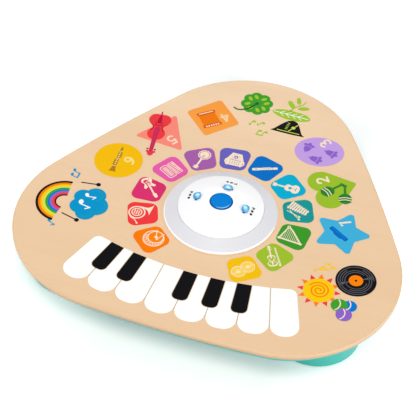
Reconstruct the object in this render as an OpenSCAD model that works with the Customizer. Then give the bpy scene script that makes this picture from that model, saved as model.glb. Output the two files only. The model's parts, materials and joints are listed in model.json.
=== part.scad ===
// Musical activity table: a wooden touch panel on a moulded base tray with three round feet.
// The player touches printed keys and pictures; boards under the wood sense the finger.
// Origin: middle of the table on the floor. +Z up, +Y away from the child, keyboard at -Y.

/* [Wooden top] */
// Width of the wooden top
top_w = 481; // [450:1:510]
// Depth of the wooden top
top_d = 447; // [425:1:470]
// Height of the playing surface above the floor
top_z = 55; // [54:0.5:62]
// Thickness of the wood
top_t = 7.5; // [6:0.5:9]
// Rounding of the wood's edges
edge_round = 2; // [1:0.25:2.5]
// Radius of the two front corners
front_corner_r = 137.5; // [125:0.5:150]
// Radius of the back corner
back_corner_r = 140; // [125:0.5:150]
// Radius of the slightly bowed sides
side_bow_r = 2090; // [1500:10:4000]
// Radius of the slightly bowed front edge
front_bow_r = 1580; // [1200:10:4000]

/* [Base tray] */
// Distance from the wood's edge to the tray's wall
tray_inset = 17; // [16:0.5:21]
// Depth of the tray below the wood
tray_h = 25; // [23:0.5:26.5]
// Thickness of the tray's side wall
tray_wall = 2.4; // [2:0.1:3]
// Thickness of the tray's floor
tray_floor = 2.4; // [2:0.1:3]
// Rounding between the tray's wall and floor
tray_round = 4; // [3:0.5:6]
// Radius of the screw posts that carry the wood
post_r = 4.5; // [4:0.1:5.5]

/* [Feet] */
// Outer radius of each round foot
foot_r = 53.4; // [48:0.1:57]
// Distance from the wood's edge to the rim of a foot
foot_inset = 17; // [15:0.1:22]
// Direction of a front foot from its corner's centre, below the horizontal
foot_turn = 39; // [30:1:45]
// Rounding of a foot's lower rim
foot_round = 4; // [2:0.5:6]
// Wall thickness of a foot
foot_wall = 2.6; // [2:0.1:3.5]
// Radius of the middle of a foot's rubber ring
pad_ring_r = 44; // [38:0.5:46]
// Width of a rubber ring
pad_w = 8; // [6:0.5:10]
// How far a rubber ring stands below its foot
pad_proud = 1.2; // [0.8:0.1:2]

/* [Play centre] */
// Distance from the front of the top to the middle of the play centre
centre_from_front = 197; // [194:1:206]
// Outer radius of the light ring
ring_r = 70; // [69:0.5:72]
// Height of the light ring's upright lip
ring_lip = 2; // [1.5:0.1:3]
// Height of the light ring's inner edge above the wood
ring_rise = 10; // [9:0.5:12]
// Wall thickness of the light ring
ring_wall = 1.6; // [1.2:0.1:2]
// Radius of the white dome
dome_r = 52.8; // [51.5:0.1:54]
// Height of the dome's middle above the wood
dome_top = 20.5; // [19:0.5:23]
// Rise of the dome from its rim to its middle
dome_rise = 9.8; // [8.5:0.1:10.5]
// Wall thickness of the dome
dome_wall = 2; // [1.6:0.1:2.2]
// Radius of the hole in the wood under the play centre
well_r = 58; // [57:0.5:60]
// Depth of the control tub below the playing surface
tub_depth = 18; // [16:0.5:20]

/* [Push button] */
// Radius of the push button
button_r = 14.2; // [12:0.1:15]
// Height of the button's rim above the dome's middle
button_proud = 0.4; // [0.2:0.1:1.5]
// Travel of the button
button_travel = 1.5; // [1:0.1:1.6]
// Radius of the button spring's coils, to the middle of the wire
spring_r = 6; // [5.5:0.1:7]
// Thickness of the spring's wire
spring_wire = 0.7; // [0.5:0.1:0.9]
// Number of the spring's coils
spring_coils = 5; // [3:1:7]

/* [Slide knobs] */
// Distance of the side knobs from the middle of the dome
side_knob_reach = 30.7; // [29:0.1:33]
// Distance of the back knob from the middle of the dome
back_knob_reach = 25.5; // [24.5:0.1:30]
// Length of a knob along its travel
knob_l = 11.5; // [10:0.5:13]
// Width of a knob
knob_w = 9; // [8:0.5:10]
// Height of a knob above the dome
knob_h = 2.6; // [2:0.2:4]
// Travel of a knob to each side of its middle position
knob_travel = 4.5; // [3:0.5:5]

/* [Printed keys] */
// Width of a white key at the middle of the keyboard
key_pitch = 36.2; // [34:0.1:38]
// Length of a white key
key_l = 73.4; // [68:0.2:78]
// Distance from the play centre to the middle of the keyboard
key_reach = 142.7; // [140:0.1:146]
// Gap between two white keys
key_gap = 1.2; // [0.8:0.1:2]
// Slant of the keyboard's outer edges
key_slant_angle = 19.5; // [14:0.5:24]
// Length of a black key
black_l = 45; // [40:0.5:50]
// Width of a black key at its far end
black_w = 17.5; // [15:0.5:20]

/* [Printed pictures] */
// Distance of the picture tiles from the play centre
tile_reach = 95.3; // [94:0.1:98]
// Length of a tile, away from the play centre
tile_l = 37; // [34:0.5:38]
// Width of a tile at its outer end, before rounding
tile_outer_w = 42; // [38:0.5:44]
// Width of a tile at its inner end, before rounding
tile_inner_w = 31.5; // [28:0.5:34]
// Rounding of a tile's corners
tile_round = 9; // [6:0.5:11]
// Thickness of the printed ink
ink_t = 0.2; // [0.1:0.05:0.3]

/* [Electronics] */
// Thickness of the circuit boards
board_t = 1.6; // [1:0.1:1.8]
// Thickness of the touch boards under the wood
touch_t = 1.2; // [0.8:0.1:1.6]
// Diameter of a battery cell
cell_d = 14.2; // [14:0.1:14.5]
// Length of a battery cell
cell_l = 50.2; // [49:0.1:51]
// Radius of the loudspeaker
speaker_r = 22; // [18:0.5:22]

/* [Hidden] */
$fn = 64;
fit = 0.25;        // clearance round pieces that are put into each other
slip = 0.3;        // clearance round pieces that move
screw_r = 1.5;     // shank of every screw
screw_head_r = 3;
screw_head_h = 2;
centre_y = -top_d / 2 + centre_from_front;

// ---- outline of the table: three corner arcs joined by three shallow bows ----
function unit(v) = v / norm(v);
function turn(v) = atan2(v.y, v.x);
function polar(r, a) = [r * cos(a), r * sin(a)];
function arc(c, r, a0, a1, n) = [for (i = [0:n]) c + polar(r, a0 + (a1 - a0) * i / n)];
// middle of the bow of radius R that runs inside the circles (a, ra) and (b, rb)
function bow_middle(a, ra, b, rb, R) =
    let (l = norm(b - a), u = (b - a) / l, x = ((R - ra)^2 - (R - rb)^2 + l^2) / (2 * l))
    a + u * x + [-u.y, u.x] * sqrt((R - ra)^2 - x^2);

corner_x = top_w / 2 - front_corner_r;
corner_y = -top_d / 2 + front_bow_r - sqrt((front_bow_r - front_corner_r)^2 - corner_x^2);
right_corner = [corner_x, corner_y];
left_corner = [-corner_x, corner_y];
back_corner = [0, top_d / 2 - back_corner_r];
front_middle = [0, -top_d / 2 + front_bow_r];
right_middle = bow_middle(right_corner, front_corner_r, back_corner, back_corner_r, side_bow_r);
left_middle = [-right_middle.x, right_middle.y];
front_end = turn(right_corner - front_middle);
right_start = turn(right_corner - right_middle);
right_end = turn(back_corner - right_middle);

function outline(inset, corner_n = 22, bow_n = 6) = concat(
    arc(front_middle, front_bow_r - inset, -180 - front_end, front_end, bow_n),
    arc(right_corner, front_corner_r - inset, front_end + 4, right_start - 4, corner_n),
    arc(right_middle, side_bow_r - inset, right_start, right_end, bow_n),
    arc(back_corner, back_corner_r - inset, right_end + 4, 176 - right_end, corner_n),
    arc(left_middle, side_bow_r - inset, 180 - right_end, 180 - right_start, bow_n),
    arc(left_corner, front_corner_r - inset, 184 - right_start, 356 - 180 - front_end, corner_n));

// solid through a list of [height, inset] levels of the outline
module lofted(levels) {
    rings = [for (l = levels) [for (p = outline(l[1])) [p.x, p.y, l[0]]]];
    n = len(rings[0]);
    last = len(rings) - 1;
    sides = [for (k = [0:last - 1], i = [0:n - 1])
        let (j = (i + 1) % n) [k * n + i, (k + 1) * n + i, (k + 1) * n + j, k * n + j]];
    bottom = [for (i = [0:n - 1]) i];
    top = [for (i = [0:n - 1]) last * n + n - 1 - i];
    polyhedron(points = [for (ring = rings, p = ring) p], faces = concat([bottom], sides, [top]));
}
// levels of a quarter round of radius r: lower edge from z up, or upper edge down from z
function round_up(z, r, n) = [for (i = [0:n]) let (a = 90 * i / n) [z + r * (1 - cos(a)), r * (1 - sin(a))]];
function round_over(z, r, n) = [for (i = [0:n]) let (a = 90 * i / n) [z - r * (1 - sin(a)), r * (1 - cos(a))]];

// ---- rounded polygons ----
function fillet(a, b, c, r, n) = r <= 0 ? [b] :
    let (u = unit(a - b), v = unit(c - b), half = acos(u * v) / 2, m = b + unit(u + v) * r / sin(half),
         s = b + u * r / tan(half), e = b + v * r / tan(half), a0 = turn(s - m),
         swing = turn(e - m) - a0, da = swing > 180 ? swing - 360 : swing < -180 ? swing + 360 : swing)
    [for (i = [0:n]) m + polar(r, a0 + da * i / n)];
function rounded(pts, r, n = 6) = let (k = len(pts))
    [for (i = [0:k - 1], p = fillet(pts[(i + k - 1) % k], pts[i], pts[(i + 1) % k],
                                    is_list(r) ? r[i] : r, n)) p];
function box_points(w, l) = [[-w / 2, -l / 2], [w / 2, -l / 2], [w / 2, l / 2], [-w / 2, l / 2]];
function spin(pts, a) = [for (p = pts) [p.x * cos(a) - p.y * sin(a), p.x * sin(a) + p.y * cos(a)]];
function shift(pts, v) = [for (p = pts) p + v];

// ---- heights ----
wood_z = top_z - top_t;              // underside of the wood
tray_z = wood_z - tray_h;            // underside of the tray
tray_in_z = tray_z + tray_floor;
foot_z = pad_proud;                  // underside of a foot
foot_h = tray_z - foot_z;
front_foot_off = front_corner_r - foot_inset - foot_r;
foot_right_at = right_corner + polar(front_foot_off, -foot_turn);
foot_left_at = [-foot_right_at.x, foot_right_at.y];
foot_back_at = back_corner + [0, back_corner_r - foot_inset - foot_r];
foot_spots = [foot_left_at, foot_right_at, foot_back_at];
foot_screw_ring = foot_r * 0.55;
foot_screw_turns = [90, 210, 330];
module at_foot_screws() {
    for (f = foot_spots, a = foot_screw_turns) translate([f.x, f.y, 0] + concat(polar(foot_screw_ring, a), 0))
        children();
}

// ---- screw posts between tray and wood ----
wood_bite = min(5, top_t - 2);       // how deep a screw goes into the wood
post_spots = [
    [60, -top_d / 2 + tray_inset + tray_wall + post_r + 0.8],
    [top_w / 2 - tray_inset - tray_wall - 19, centre_y - 50],
    [corner_x + 27, centre_y + 63],
    [38, foot_back_at.y - foot_r + 8.3]];
case_screw_l = 12.5;                 // shank of the screws in the posts and feet
post_head_z = wood_z + wood_bite - case_screw_l;   // seat of a screw's head deep in its post
module at_posts() { for (p = post_spots, s = [-1, 1]) translate([s * p.x, p.y, 0]) children(); }
slot_l = 4;                          // cross slots in the screw heads
slot_w = 0.8;
slot_depth = 0.8;
module cross_slot() {
    translate([-slot_l / 2, -slot_w / 2, -1]) cube([slot_l, slot_w, slot_depth + 1]);
    translate([-slot_w / 2, -slot_l / 2, -1]) cube([slot_w, slot_l, slot_depth + 1]);
}
module screw(head_z, tip_z) {        // head down, tip up
    translate([0, 0, head_z - screw_head_h]) difference() {
        cylinder(r = screw_head_r, h = screw_head_h);
        cross_slot();
    }
    translate([0, 0, head_z]) cylinder(r = screw_r, h = tip_z - head_z);
}

// ---- wooden top ----
module top_panel() color([0.93, 0.80, 0.65]) difference() {
    translate([0, 0, wood_z]) lofted(concat(round_up(0, edge_round * 0.6, 2), round_over(top_t, edge_round, 4)));
    translate([0, centre_y, wood_z - 1]) cylinder(r = well_r, h = top_t + 2);
    at_posts() translate([0, 0, wood_z - 1]) cylinder(r = screw_r, h = 1 + wood_bite);
    at_tub_screws() translate([0, 0, top_z - wood_bite]) cylinder(r = screw_r, h = wood_bite + 1);
}

// ---- base tray ----
cell_gap = 0.4;
box_w = cell_l + 9;                              // inside of the battery box, across
box_l = 3 * cell_d + 4 * cell_gap;               // inside of the battery box, front to back
box_wall = 1.6;
box_y = centre_y - key_reach + 33;
door_t = 2;
door_lip = 3;
door_tab = 9;                                    // ear of the door that its screw goes through
ear_t = 4;                                       // thickness of that ear
box_top_z = tray_z + door_t + cell_d + 1.2;      // underside of the battery box's ceiling
door_screw_x = box_w / 2 + box_wall + door_tab / 2 + 0.6;
speaker_at = [corner_x + 14, centre_y + 8];      // right of the play centre
board_at = [-corner_x - 14, centre_y + 8];       // the sound board, left of it
board_w = 70;
board_l = 46;
standoff_h = 4;

module teal() { color([0.09, 0.66, 0.60]) children(); }
module battery_recess(z0, z1, grow = 0) {
    translate([0, box_y, z0]) linear_extrude(z1 - z0)
        polygon(rounded(box_points(box_w + 2 * grow, box_l + 2 * grow), 2 + grow / 2));
}
module door_plate(grow, z0, z1) {
    translate([0, box_y, z0]) linear_extrude(z1 - z0)
        polygon(rounded(box_points(box_w + 2 * (door_lip + grow), box_l + 2 * (door_lip + grow)), 2));
}
module door_ear(grow, z0, z1) {
    translate([door_screw_x - 1, box_y, z0]) linear_extrude(z1 - z0)
        polygon(rounded(box_points(door_tab + 2 + 2 * grow, door_tab + 4 + 2 * grow), 2));
}
web_l = 6;                                       // how far a web runs out from its post
web_t = 1.2;
foot_post_h = 9;
module post_webs(h) {
    for (a = [0, 90]) rotate(a + 45) translate([-post_r - web_l, -web_t / 2, 0])
        cube([2 * (post_r + web_l), web_t, h]);
}
module base_shell() teal() difference() {
    union() {
        difference() {
            translate([0, 0, tray_z]) lofted([for (l = concat(round_up(0, tray_round, 4), [[tray_h, 0]]))
                                              [l[0], l[1] + tray_inset]]);
            translate([0, 0, tray_in_z]) linear_extrude(tray_h) polygon(outline(tray_inset + tray_wall));
        }
        for (f = foot_spots) translate([f.x, f.y, tray_z]) cylinder(r = foot_r, h = tray_floor, $fn = 96);
        at_posts() translate([0, 0, tray_z + 1]) cylinder(r = post_r, h = tray_h - 1);
        at_posts() translate([0, 0, tray_z + 1]) post_webs(tray_h * 0.5);
        at_foot_screws() translate([0, 0, tray_z]) cylinder(r = post_r, h = foot_post_h);
        at_foot_screws() translate([0, 0, tray_z + 1]) post_webs(foot_post_h - 3);
        battery_recess(tray_z, box_top_z + box_wall, box_wall + 0.01);
        door_ear(box_wall, tray_z, tray_z + ear_t + 1.6);
        translate([door_screw_x, box_y, tray_z]) cylinder(r = post_r, h = ear_t + 9);
        at_standoffs() translate([0, 0, tray_in_z - 0.5]) cylinder(r = 3, h = standoff_h + 0.5);
        translate([speaker_at.x, speaker_at.y, tray_in_z - 0.5]) difference() {
            cylinder(r = speaker_r + 2 + fit, h = 3);
            translate([0, 0, -1]) cylinder(r = speaker_r + fit, h = 5);
        }
        for (a = speaker_screw_turns) translate(concat(speaker_at + polar(speaker_screw_ring, a), tray_in_z - 0.5))
            cylinder(r = 2.8, h = 4.5);
    }
    at_posts() {
        translate([0, 0, tray_z - 1]) cylinder(r = screw_head_r + 0.2, h = post_head_z - tray_z + 1);
        translate([0, 0, tray_z]) cylinder(r = screw_r + 0.2, h = tray_h + 1);
    }
    at_foot_screws() translate([0, 0, tray_z - 1]) cylinder(r = screw_r, h = foot_tip_z - tray_z + 1);
    battery_recess(tray_z - 1, box_top_z);
    door_plate(fit, tray_z - 1, tray_z + door_t);
    door_ear(fit, tray_z - 1, tray_z + ear_t);
    translate([door_screw_x, box_y, tray_z]) cylinder(r = screw_r, h = ear_t + 8);
    speaker_grille();
    at_standoffs() translate([0, 0, sound_z + board_t - 6]) cylinder(r = 1, h = 6);
    for (a = speaker_screw_turns) translate(concat(speaker_at + polar(speaker_screw_ring, a), tray_in_z + 0.6))
        cylinder(r = 1, h = 5);
    translate([-box_w / 2 - box_wall - 1, box_y - 3, box_top_z - 4]) cube([box_wall + 1.5, 6, 3]);
}
grille_rings = 4;
module speaker_grille() {
    translate([speaker_at.x, speaker_at.y, tray_z - 1]) {
        cylinder(r = 1.4, h = tray_floor + 2);
        for (k = [1:grille_rings], i = [0:6 * k - 1]) rotate(360 * i / (6 * k))
            translate([k * (speaker_r - 4) / grille_rings, 0, 0]) cylinder(r = 1.4, h = tray_floor + 2);
    }
}

// ---- feet ----
foot_rim_n = 8;
function foot_profile(r, h, e) = concat([[0, 0]], [for (i = [0:foot_rim_n]) let (a = 90 * i / foot_rim_n)
    [r - e + e * sin(a), e - e * cos(a)]], [[r, h], [0, h]]);
module foot(at) teal() translate([at.x, at.y, foot_z]) difference() {
    union() {
        difference() {
            rotate_extrude($fn = 96) polygon(foot_profile(foot_r, foot_h, foot_round));
            translate([0, 0, foot_wall]) rotate_extrude($fn = 96)
                polygon(foot_profile(foot_r - foot_wall, foot_h, foot_round - 1));
        }
        for (a = foot_screw_turns) translate(concat(polar(foot_screw_ring, a), 1)) {
            cylinder(r = post_r + 0.8, h = foot_h - 1);
        }
        for (a = foot_screw_turns) rotate(a) translate([foot_screw_ring + post_r, -0.8, 1])
            cube([foot_r - foot_wall / 2 - foot_screw_ring - post_r, 1.6, foot_h * 0.6]);
    }
    for (a = foot_screw_turns) translate(concat(polar(foot_screw_ring, a), 0)) {
        translate([0, 0, -1]) cylinder(r = screw_head_r + 0.2, h = foot_head_z - foot_z + 1);
        cylinder(r = screw_r + 0.2, h = foot_h + 1);
    }
    translate([0, 0, -1]) difference() {
        cylinder(r = pad_ring_r + pad_w / 2, h = 1 + pad_groove, $fn = 96);
        translate([0, 0, -1]) cylinder(r = pad_ring_r - pad_w / 2, h = 3 + pad_groove, $fn = 96);
    }
}
pad_groove = 0.8;
foot_head_z = tray_z - 5;            // seat of a foot screw's head
foot_tip_z = foot_head_z + case_screw_l;
module foot_left() foot(foot_left_at);
module foot_right() foot(foot_right_at);
module foot_back() foot(foot_back_at);
module foot_pads() color([0.16, 0.17, 0.18]) for (f = foot_spots) translate([f.x, f.y, 0]) difference() {
    cylinder(r = pad_ring_r + pad_w / 2, h = pad_proud + pad_groove, $fn = 96);
    translate([0, 0, -1]) cylinder(r = pad_ring_r - pad_w / 2, h = pad_proud + 3, $fn = 96);
}
module steel() { color([0.72, 0.74, 0.77]) children(); }
// equal screws: through the tray's posts into the wood, and through the feet into the tray
module case_screws() steel() {
    at_posts() screw(post_head_z, post_head_z + case_screw_l);
    at_foot_screws() screw(foot_head_z, foot_tip_z);
}

// ---- battery box: three cells under a screwed door ----
module battery_door() teal() difference() {
    union() {
        door_plate(0, tray_z, tray_z + door_t);
        door_ear(0, tray_z, tray_z + ear_t);
    }
    translate([door_screw_x, box_y, tray_z - 1]) cylinder(r = screw_r + 0.2, h = ear_t + 2);
    translate([door_screw_x, box_y, tray_z - 1]) cylinder(r = screw_head_r + 0.2, h = screw_head_h + 1);
    for (i = [-3:3]) translate([-box_w / 2 + 8, box_y + i * 3 - 0.5, tray_z - 0.5]) cube([12, 1, 1]);
}
cell_z = tray_z + door_t + cell_d / 2 + 0.9;
module battery_cells() color([0.25, 0.45, 0.30]) for (k = [-1:1])
    translate([0, box_y + k * (cell_d + cell_gap), cell_z]) rotate([0, k == 0 ? -90 : 90, 0]) {
        translate([0, 0, -cell_l / 2]) cylinder(d = cell_d, h = cell_l - 1);
        translate([0, 0, cell_l / 2 - 1]) cylinder(r = 2.7, h = 1);
    }
contact_t = 0.5;
contact_w = 10;
contact_turns = 4;                               // steps of a cone spring
contact_base_r = 4.6;
contact_tip_r = 2.5;
module battery_contacts() steel() for (s = [-1, 1], k = [-1:1])
    translate([s * box_w / 2, box_y + k * (cell_d + cell_gap), cell_z]) {
        translate([s > 0 ? -contact_t : 0, -contact_w / 2, -contact_w / 2]) cube([contact_t, contact_w, contact_w]);
        // a flat button meets the cell's nose, a stepped cone spring its base
        nose = (k == 0) == (s < 0);
        reach = (box_w - cell_l) / 2 - contact_t;
        step = (contact_base_r - contact_tip_r) / (contact_turns - 1);
        rotate([0, -90 * s, 0]) translate([0, 0, contact_t])
            if (nose) cylinder(r = contact_tip_r, h = reach);
            else for (j = [0:contact_turns - 1]) translate([0, 0, j * reach / contact_turns])
                cylinder(r = contact_base_r - step * j, h = reach / contact_turns);
    }

// ---- loudspeaker, face down on the grille ----
speaker_screw_ring = speaker_r + 4.6;
speaker_screw_turns = [0, 120, 240];
speaker_z = tray_in_z;
module speaker_frame() color([0.35, 0.36, 0.38]) translate(concat(speaker_at, speaker_z)) difference() {
    rotate_extrude() polygon([[speaker_r - 5, 0], [speaker_r, 0], [speaker_r, 1.4], [speaker_r - 2.6, 1.4],
        [speaker_r * 0.52, 7.5], [speaker_r * 0.52, 8.5], [speaker_r * 0.30, 8.5], [speaker_r * 0.30, 7.3],
        [speaker_r * 0.46, 7.3], [speaker_r - 3.8, 1.3], [speaker_r - 5, 1.3]]);
    for (a = [0:60:300]) rotate(a + 30) translate([speaker_r * 0.66, 0, 4]) cylinder(r = 2.6, h = 5);
}
module speaker_cone() color([0.12, 0.12, 0.13]) translate(concat(speaker_at, speaker_z)) {
    rotate_extrude() polygon([[speaker_r - 5, 0.7], [speaker_r * 0.28, 5.6], [0, 4.4], [0, 5.2],
        [speaker_r * 0.26, 6.4], [speaker_r - 5, 1.2]]);
}
module speaker_magnet() steel() translate(concat(speaker_at, speaker_z + 8.5)) {
    cylinder(r = speaker_r * 0.52, h = 1.2);
    translate([0, 0, 1.2]) cylinder(r = speaker_r * 0.46, h = 3.4);
    translate([0, 0, 4.6]) cylinder(r = speaker_r * 0.5, h = 1);
}
clamp_z = speaker_z + 4;
module speaker_clamps() steel() for (a = speaker_screw_turns) translate(concat(speaker_at, 0)) rotate(a) {
    difference() {
        translate([speaker_r - 2, -3, clamp_z]) cube([speaker_screw_ring - speaker_r + 5, 6, 0.8]);
        translate([speaker_screw_ring, 0, clamp_z - 1]) cylinder(r = 1, h = 3);
    }
    difference() {
        translate([speaker_r - 2, -3, speaker_z + 1.4]) cube([1, 6, clamp_z - speaker_z - 1.4]);
        translate([0, 0, speaker_z]) cylinder(r = speaker_r - 2, h = 9);
    }
    translate([speaker_screw_ring, 0, speaker_z + 0.6]) cylinder(r = 1, h = clamp_z - speaker_z + 0.2);
    translate([speaker_screw_ring, 0, clamp_z + 0.8]) cylinder(r = 2, h = 1.2);
}

// ---- play centre: control tub, light ring, dome ----
dome_sphere_r = (dome_r^2 + dome_rise^2) / (2 * dome_rise);
function dome_z(r, wall = 0) = dome_top - dome_sphere_r + sqrt((dome_sphere_r - wall)^2 - r^2);
seat_r = dome_r + fit;                     // inner wall of the light ring
ledge_z = ring_rise - 6;                   // ledge that the dome's rim stands on
ledge_r = dome_r - 2.8;
tub_r = well_r - fit;
tub_wall = 2;
flange_t = 1.5;
flange_r = ring_r - ring_wall - 1.9;
tub_screw_ring = (well_r + flange_r) / 2;
tub_floor_t = 2;
tub_in_z = -tub_depth + tub_floor_t;
ring_post_r = ledge_r + 2.1;
ring_post_turns = [90, 210, 330];
dome_post_ring = ledge_r - 3.8;
dome_post_turns = [30, 150, 270];
board_post_ring = 34;
board_post_turns = [-62, 45, 135];
panel_board_z = 4.4;                       // underside of the control board
panel_board_r = 40;
led_board_z = -4;
module at_centre() { translate([0, centre_y, top_z]) children(); }
module at_tub_screws() {
    translate([0, centre_y, 0]) for (a = [0:60:300]) rotate(a + 15) translate([tub_screw_ring, 0, 0]) children();
}
module posts(ring, turns) { for (a = turns) rotate(a) translate([ring, 0, 0]) children(); }

module control_tub() color([0.93, 0.93, 0.94]) difference() {
    at_centre() difference() {
        union() {
            rotate_extrude() polygon([[0, -tub_depth], [tub_r, -tub_depth], [tub_r, 0], [flange_r, 0],
                [flange_r, flange_t], [tub_r - tub_wall, flange_t], [tub_r - tub_wall, tub_in_z], [0, tub_in_z]]);
            for (a = [0:60:300]) rotate(a + 45) translate([tub_r - 8, -1, tub_in_z - 0.5])
                cube([7, 2, led_board_z - tub_in_z + 0.5]);
        }
        posts(ring_post_r, ring_post_turns) tub_hole();
        posts(dome_post_ring, dome_post_turns) tub_hole();
        translate([tub_hole_at.x - 5, tub_hole_at.y - centre_y - 4, -tub_depth - 1])
            cube([10, 8, tub_floor_t + 2]);
    }
    at_tub_screws() translate([0, 0, top_z - 1]) cylinder(r = screw_r + 0.1, h = 4);
    at_tub_screws() translate([0, 0, top_z + 0.5]) cylinder(r = screw_head_r, h = 4);
}
module tub_hole() { translate([0, 0, -tub_depth - 1]) cylinder(r = screw_r + 0.2, h = tub_floor_t + 2); }
module tub_screws() steel() at_tub_screws() {
    translate([0, 0, top_z - wood_bite]) cylinder(r = screw_r, h = wood_bite + 0.5);
    translate([0, 0, top_z + 0.5]) difference() {
        cylinder(r = screw_head_r - 0.1, h = flange_t - 0.5);
        translate([0, 0, flange_t - 0.5]) mirror([0, 0, 1]) cross_slot();
    }
}
module light_ring() color([0.86, 0.87, 0.89]) at_centre() difference() {
    union() {
        rotate_extrude($fn = 96) polygon([[ring_r, 0], [ring_r, ring_lip - 0.5], [ring_r - 0.5, ring_lip],
            [seat_r + 0.3, ring_rise], [seat_r, ring_rise - 0.2], [seat_r, ledge_z], [ledge_r, ledge_z],
            [ledge_r, ledge_z - 1.6], [seat_r + ring_wall, ledge_z - 1.6],
            [seat_r + ring_wall, ring_rise - 0.6 - ring_wall * 1.5], [ring_r - ring_wall, ring_lip - 0.9],
            [ring_r - ring_wall, 0]]);
        posts(ring_post_r, ring_post_turns) translate([0, 0, tub_in_z])
            cylinder(r = 2.8, h = ledge_z - 0.8 - tub_in_z);
    }
    posts(ring_post_r, ring_post_turns) translate([0, 0, tub_in_z - 1]) cylinder(r = screw_r, h = 9);
}
collar_r = button_r + 3.2;                 // outer radius of the button's guide collar
collar_z = dome_z(button_r, dome_wall) - 4.6;
module dome_cover() color([0.985, 0.985, 0.985]) at_centre() difference() {
    union() {
        rotate_extrude($fn = 96) difference() {
            intersection() {
                translate([0, dome_top - dome_sphere_r]) circle(r = dome_sphere_r, $fn = 200);
                translate([0, ledge_z]) square([dome_r, dome_top]);
            }
            intersection() {
                translate([0, dome_top - dome_sphere_r]) circle(r = dome_sphere_r - dome_wall, $fn = 200);
                translate([-1, -1]) square([dome_r - dome_wall + 1, dome_top + 1]);
            }
        }
        translate([0, 0, collar_z]) cylinder(r = collar_r, h = dome_z(collar_r, dome_wall / 2) - collar_z);
        posts(dome_post_ring, dome_post_turns) translate([0, 0, tub_in_z])
            cylinder(r = 2.8, h = dome_z(dome_post_ring + 2.8, dome_wall / 2) - tub_in_z);
        posts(board_post_ring, board_post_turns) translate([0, 0, panel_board_z + board_t])
            cylinder(r = 2.4, h = dome_z(board_post_ring + 2.4, dome_wall / 2) - panel_board_z - board_t);
    }
    translate([0, 0, collar_z - 1]) cylinder(r = button_r + slip, h = 20);
    translate([0, 0, collar_z - 1]) cylinder(r = collar_r - 1.4, h = flange_top - collar_z + 1 + slip);
    posts(dome_post_ring, dome_post_turns) translate([0, 0, tub_in_z - 1]) cylinder(r = screw_r, h = 9);
    posts(board_post_ring, board_post_turns) translate([0, 0, panel_board_z]) cylinder(r = 1, h = 6);
    for (k = knob_spots) rotate(k[1]) translate([k[0] - stem_w / 2 - slip, -knob_travel - stem_l / 2 - slip, 0])
        cube([stem_w + 2 * slip, 2 * knob_travel + stem_l + 2 * slip, 30]);
}
cover_screw_l = 10;                        // shank of the screws under the dome and in the battery door
module cover_screws() steel() {
    at_centre() {
        posts(ring_post_r, ring_post_turns) screw(-tub_depth, -tub_depth + cover_screw_l);
        posts(dome_post_ring, dome_post_turns) screw(-tub_depth, -tub_depth + cover_screw_l);
    }
    translate([door_screw_x, box_y, 0]) screw(tray_z + screw_head_h, tray_z + screw_head_h + cover_screw_l);
}
// small screws: the control board hangs from the dome, the sound board stands on the tray
module board_screws() steel() {
    at_centre() posts(board_post_ring, board_post_turns) {
        translate([0, 0, panel_board_z]) cylinder(r = 1, h = 6);
        translate([0, 0, panel_board_z - 1.2]) cylinder(r = 2, h = 1.2);
    }
    at_standoffs() {
        translate([0, 0, sound_z + board_t - 6]) cylinder(r = 1, h = 6);
        translate([0, 0, sound_z + board_t]) cylinder(r = 2, h = 1.2);
    }
}

// ---- boards in the play centre ----
module green_board() { color([0.10, 0.42, 0.25]) children(); }
module control_board() green_board() at_centre() difference() {
    translate([0, 0, panel_board_z]) cylinder(r = panel_board_r, h = board_t);
    posts(board_post_ring, board_post_turns) translate([0, 0, panel_board_z - 1]) cylinder(r = 1.1, h = 4);
    posts(dome_post_ring, dome_post_turns) translate([0, 0, panel_board_z - 1]) cylinder(r = 3.2 + slip, h = 4);
}
led_inner_r = 44;
led_outer_r = tub_r - tub_wall - fit;
led_count = 12;
module led_board() green_board() at_centre() translate([0, 0, led_board_z]) difference() {
    cylinder(r = led_outer_r, h = board_t);
    translate([0, 0, -1]) cylinder(r = led_inner_r, h = board_t + 2);
    posts(ring_post_r, ring_post_turns) translate([0, 0, -1]) cylinder(r = 3.2, h = board_t + 2);
    posts(dome_post_ring, dome_post_turns) translate([0, 0, -1]) cylinder(r = 3.2, h = board_t + 2);
}
module leds() color([0.98, 0.95, 0.80]) at_centre() for (i = [0:led_count - 1])
    rotate((i + 0.5) * 360 / led_count) translate([ledge_r + 0.2, -1.4, led_board_z + board_t]) cube([3.5, 2.8, 1.4]);

// ---- push button, its spring and switch ----
board_top = panel_board_z + board_t;
button_top = dome_top + button_proud;
flange_top = dome_z(button_r + 1.4, dome_wall) - slip;
flange_b = 1.3;                            // thickness of the button's flange
tact_h = 3.5;
tact_tip = board_top + tact_h + 1.4;
stem_tip = tact_tip + button_travel + 0.05;
crown = button_top - 3;                    // underside of the button's top
module push_button() color([0.03, 0.47, 0.86]) at_centre() {
    rotate_extrude($fn = 96) polygon([[0, crown], [button_r - 2.2, crown], [button_r - 2.2, flange_top - flange_b],
        [button_r + 1.4, flange_top - flange_b], [button_r + 1.4, flange_top], [button_r, flange_top],
        [button_r, button_top - 1.6], [button_r - 0.5, button_top - 0.5], [button_r - 1.6, button_top],
        [button_r - 3, button_top - 0.15], [button_r - 6, button_top - 0.45], [0, button_top - 0.7]]);
    translate([0, 0, stem_tip]) cylinder(r = 2.2, h = crown - stem_tip + 0.5);
}
spring_seat = board_top;
spring_sides = 6;
spring_steps = 14;                         // sections in each turn
module button_spring() steel() at_centre() {
    h = crown - spring_seat - spring_wire;
    n = spring_coils * spring_steps;
    rings = [for (k = [0:n]) let (a = 360 * k / spring_steps, z = spring_seat + spring_wire / 2 + h * k / n)
        [for (i = [0:spring_sides - 1]) let (b = 360 * i / spring_sides,
            r = spring_r + spring_wire / 2 * cos(b)) [r * cos(a), r * sin(a), z + spring_wire / 2 * sin(b)]]];
    swept(rings);
}
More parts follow.
